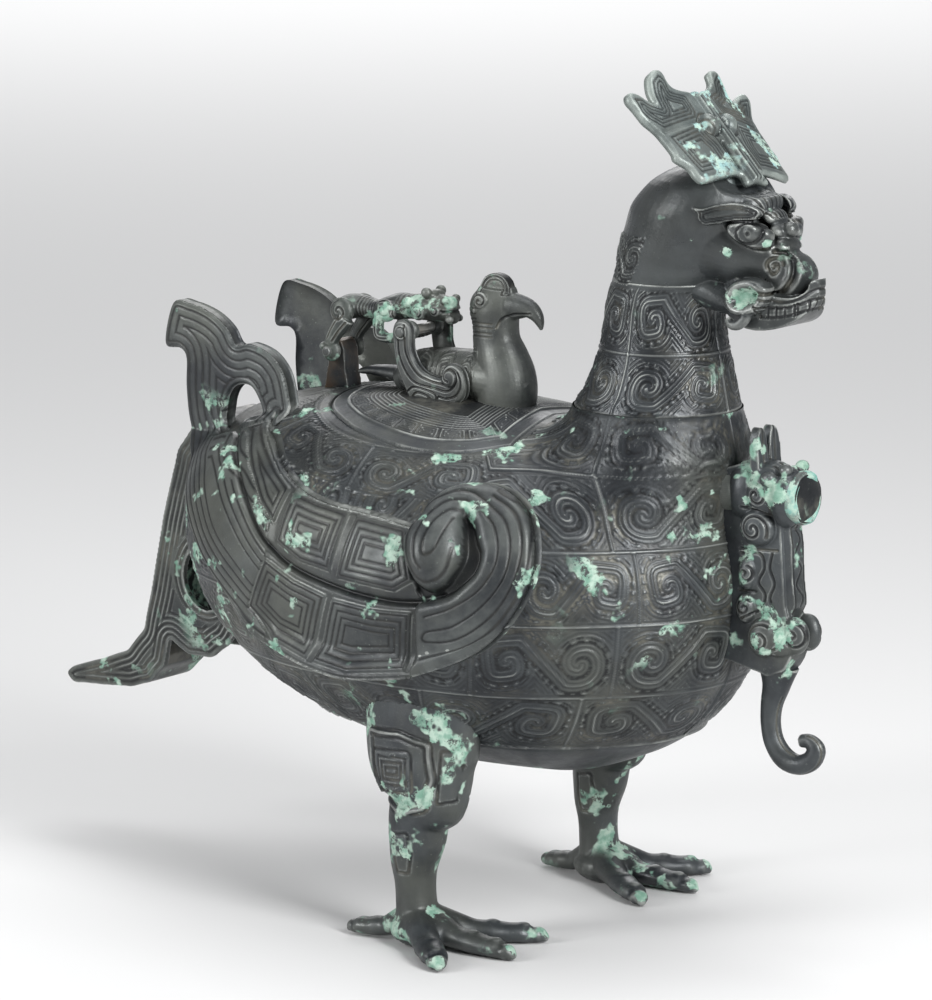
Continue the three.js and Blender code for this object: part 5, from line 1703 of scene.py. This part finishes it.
# %% Material: old bronze
def bronze(name, dark=(0.017, 0.020, 0.024), light=(0.06, 0.068, 0.072), dust_and_shade_colour=(0.12, 0.118, 0.098), green=0.5,
           rough=0.4, metal=0.35, seed=0.0, brown=0.0, dull=0.62, malachite=(0.15, 0.29, 0.22),
           worn_to=(0.3, 0.315, 0.3)):
    made = bpy.data.materials.new(name)
    made.use_nodes = True
    tree = made.node_tree
    nodes, links = tree.nodes, tree.links
    shader = nodes["Principled BSDF"]
    shader.inputs["Roughness"].default_value = rough
    shader.inputs["Metallic"].default_value = metal
    place = nodes.new("ShaderNodeTexCoord").outputs["Object"]
    move = nodes.new("ShaderNodeMapping")
    move.inputs["Location"].default_value = (seed, seed * 0.7, seed * 1.3)
    links.new(place, move.inputs["Vector"])

    def noise(scale, detail=5.0, rough_by=0.6):
        n = nodes.new("ShaderNodeTexNoise")
        n.inputs["Scale"].default_value, n.inputs["Detail"].default_value = scale, detail
        n.inputs["Roughness"].default_value = rough_by
        links.new(move.outputs["Vector"], n.inputs["Vector"])
        return n.outputs["Fac"]

    def ramp(value, low, high, to_low=0.0, to_high=1.0):
        n = nodes.new("ShaderNodeMapRange")
        n.interpolation_type = "SMOOTHSTEP"
        for key, v in (("From Min", low), ("From Max", high), ("To Min", to_low), ("To Max", to_high)):
            n.inputs[key].default_value = v
        links.new(value, n.inputs["Value"])
        return n.outputs["Result"]

    def blend(factor, a, b):
        n = nodes.new("ShaderNodeMix")
        n.data_type = "RGBA"
        links.new(factor, n.inputs[0])
        for socket, v in ((n.inputs[6], a), (n.inputs[7], b)):
            if isinstance(v, tuple):
                socket.default_value = (*v, 1)
            else:
                links.new(v, socket)
        return n.outputs[2]

    def calc(kind, a, b):
        n = nodes.new("ShaderNodeMath")
        n.operation = kind
        for socket, v in zip(n.inputs, (a, b)):
            if isinstance(v, (int, float)):
                socket.default_value = v
            else:
                links.new(v, socket)
        return n.outputs[0]

    def stored(name):
        n = nodes.new("ShaderNodeAttribute")
        n.attribute_name = name
        return n.outputs["Fac"]

    recess_shade_and_dust, grown = stored("recess_shade_and_dust"), stored("verdigris")
    edge = nodes.new("ShaderNodeNewGeometry").outputs["Pointiness"]
    mottled = ramp(noise(34, 6), 0.32, 0.72)
    colour = blend(mottled, dark, light)
    film = ramp(noise(15, 6), 0.44, 0.66, 0.0, dull)
    colour = blend(film, colour, (0.092, 0.098, 0.084))
    if brown:
        colour = blend(ramp(noise(30, 5), 0.62 - brown * 0.3, 0.75 - brown * 0.2, 0, 0.85), colour,
                       (0.13, 0.085, 0.05))
    # Painted shade: engraved lines and hollows are darkened toward a quarter of the dark tone by the value
    # stored per point.
    painted_groove_shade = tuple(v * 0.25 for v in dark)
    colour = blend(calc("MULTIPLY", recess_shade_and_dust, 0.9), colour, painted_groove_shade)
    # Dust settles in the same places. Most castings get a pale dust; where this colour is dark, as on the
    # wings, it paints shade instead.
    dust_and_shade_amount = calc("MULTIPLY", recess_shade_and_dust, ramp(noise(48, 5), 0.46, 0.66, 0.0, 0.85))
    colour = blend(dust_and_shade_amount, colour, dust_and_shade_colour)
    rubbed = calc("MULTIPLY", ramp(edge, 0.506, 0.55, 0.0, 1.0), ramp(noise(45, 5), 0.34, 0.62, 0.15, 1.0))
    rubbed = calc("MULTIPLY", rubbed, ramp(recess_shade_and_dust, 0.1, 0.55, 1.0, 0.0))
    colour = blend(rubbed, colour, worn_to)
    speckle = calc("MULTIPLY", ramp(noise(900, 2), 0.66, 0.74, 0.0, 0.5), ramp(noise(40, 3), 0.45, 0.6))
    colour = blend(speckle, colour, (0.22, 0.25, 0.22))
    limit = 0.665 - 0.085 * green
    patch = calc("MULTIPLY", ramp(noise(62, 3), limit - 0.02, limit + 0.025), ramp(noise(12, 2), 0.44, 0.52))
    patch = calc("MULTIPLY", patch, ramp(noise(210, 5, 0.75), 0.4, 0.5))
    patch = calc("MULTIPLY", patch, min(1.0, green * 3))
    ragged = calc("ADD", grown, calc("MULTIPLY", noise(190, 6, 0.75), 2.6))
    patch = calc("MAXIMUM", patch, calc("MULTIPLY", ramp(ragged, 1.86, 1.96), ramp(grown, 0.05, 0.25)))
    colour = blend(patch, colour, blend(ramp(noise(240, 4), 0.35, 0.65), malachite, (0.38, 0.5, 0.42)))
    links.new(colour, shader.inputs["Base Color"])
    links.new(ramp(patch, 0.0, 1.0, metal, 0.0), shader.inputs["Metallic"])
    links.new(calc("ADD", ramp(noise(90, 5), 0.3, 0.7, rough - 0.08, rough + 0.12),
                   calc("MULTIPLY", patch, 0.3)),
              shader.inputs["Roughness"])
    bump = nodes.new("ShaderNodeBump")
    bump.inputs["Strength"].default_value, bump.inputs["Distance"].default_value = 0.35, 0.0006
    links.new(calc("ADD", calc("MULTIPLY", noise(520, 4, 0.7), 0.6), patch), bump.inputs["Height"])
    links.new(bump.outputs["Normal"], shader.inputs["Normal"])
    return made


# %% [markdown]
# ## Which casting looks how
# The crest, the wings and the spout are paler, the neck has the most sheen, and the post is brown.
# Every slot gets its own seed, so that the spots of one casting don't return on the next. Any CAD
# solid that is still shown gets the finish of its slot as well.

# %% Finishes by slot
# The wings' dust colour is dark, so it paints shade into their engraved lines rather than pale dust.
grey_wing = dict(green=0.55, dull=0.75, light=(0.1, 0.11, 0.106), dust_and_shade_colour=(0.03, 0.031, 0.028))
small_wing_look = dict(green=0.4, light=(0.13, 0.14, 0.13))
own_look = {
    "body_bronze": dict(green=0.75),
    "neck_bronze": dict(green=0.15, rough=0.33, dull=0.25, light=(0.056, 0.064, 0.07)),
    "crest_bronze": dict(green=1.2, light=(0.2, 0.23, 0.22), dark=(0.06, 0.075, 0.078),
                         malachite=(0.24, 0.4, 0.4), worn_to=(0.27, 0.305, 0.285)),
    "right_wing_bronze": grey_wing, "left_wing_bronze": grey_wing,
    "tail_bronze": dict(green=1.2, light=(0.09, 0.1, 0.09)),
    "right_leg_bronze": dict(green=1.1), "left_leg_bronze": dict(green=1.1), "dragon_bronze": dict(green=0.9),
    "spout_bronze": dict(green=1.9, malachite=(0.14, 0.33, 0.29), light=(0.12, 0.14, 0.13)),
    "post_bronze": dict(green=0.3, brown=1.0),
    "lid_bronze": dict(green=0.2, rough=0.42, metal=0.2, light=(0.05, 0.056, 0.062)),
    "lid_bird_bronze": dict(green=0.2, light=(0.13, 0.14, 0.13)),
    "small_right_wing_bronze": small_wing_look, "small_left_wing_bronze": small_wing_look,
    "beast_bronze": dict(green=0.9, light=(0.11, 0.125, 0.11)),
    "front_pin_bronze": dict(green=0.1, brown=0.3), "rear_pin_bronze": dict(green=0.1, brown=0.5)}
finishes = {}
for k, entry in enumerate(frame["record"]["materials"]):
    finishes[entry["slot"]] = bronze(entry["slot"], seed=0.37 * k, **own_look[entry["slot"]])
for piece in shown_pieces():
    slot_name = piece.get("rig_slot")
    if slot_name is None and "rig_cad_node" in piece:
        row = next(s for s in frame["record"]["subparts"] if s["node"] == piece["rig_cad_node"])
        slot_name = row["material_slot"]
    piece.data.materials.clear()
    piece.data.materials.append(finishes[slot_name])
print(len(finishes), "finishes")

# %% [markdown]
# ## Camera
# The picture was taken from the bird's right, somewhat in front of its side and a little from above,
# with a long lens. The lens and place were worked out from the bird's own symmetry.

# %% Camera
scene = bpy.context.scene
camera = bpy.data.objects.new("camera", bpy.data.cameras.new("camera"))
scene.collection.objects.link(camera)
scene.camera = camera
camera.data.lens, camera.data.sensor_width = 189.1, 36.0
camera.data.clip_start, camera.data.clip_end = 0.05, 50
azimuth, elevation, distance = math.radians(36), math.radians(10.31), 2.164
level = math.cos(elevation)
back = Vector((math.sin(azimuth) * level, -math.cos(azimuth) * level, math.sin(elevation)))
camera.location = Vector((shift * 0.001, 0, 0.1703)) + back * distance
camera.rotation_mode = "QUATERNION"
camera.rotation_quaternion = (-back).to_track_quat("-Z", "Y")

# %% [markdown]
# ## Floor and light
# A wide pale floor runs under the ewer and far behind it. Two large soft lights stand at the sides
# and one hangs above, as in a museum's photo studio, and a fourth brightens the floor far behind.
# Large lights draw long soft highlights, which show the relief on dark metal best.

# %% Floor and lights
paper = bpy.data.materials.new("floor_paper")
paper.use_nodes = True
paper_shader = paper.node_tree.nodes["Principled BSDF"]
paper_shader.inputs["Base Color"].default_value = (0.66, 0.66, 0.66, 1)
paper_shader.inputs["Roughness"].default_value = 0.85
bpy.ops.mesh.primitive_plane_add(size=14)
floor = bpy.context.object
floor.name = "floor"
floor.data.materials.append(paper)

world = bpy.data.worlds.new("studio")
scene.world = world
world.use_nodes = True
sky = world.node_tree.nodes["Background"]
sky.inputs["Color"].default_value = (0.80, 0.81, 0.83, 1)
sky.inputs["Strength"].default_value = 0.4


def soft_light(name, place, size, power, aim=(0.0, 0.0, 0.17)):
    light = bpy.data.lights.new(name, "AREA")
    light.shape, light.size, light.size_y, light.energy = "RECTANGLE", size[0], size[1], power
    made = bpy.data.objects.new(name, light)
    scene.collection.objects.link(made)
    made.location = place
    made.rotation_mode = "QUATERNION"
    made.rotation_quaternion = (Vector(aim) - Vector(place)).to_track_quat("-Z", "Y")


soft_light("right_softbox", (1.5, -0.5, 0.95), (0.5, 1.1), 34)
soft_light("left_softbox", (-0.9, -1.5, 0.8), (0.45, 1.0), 20)
soft_light("top_softbox", (0.0, 0.1, 1.5), (0.9, 0.9), 10)
soft_light("backdrop_light", (-3.0, 4.0, 2.4), (3.5, 3.5), 120, (-2.6, 3.5, 0.0))
scene.view_settings.view_transform = "Standard"
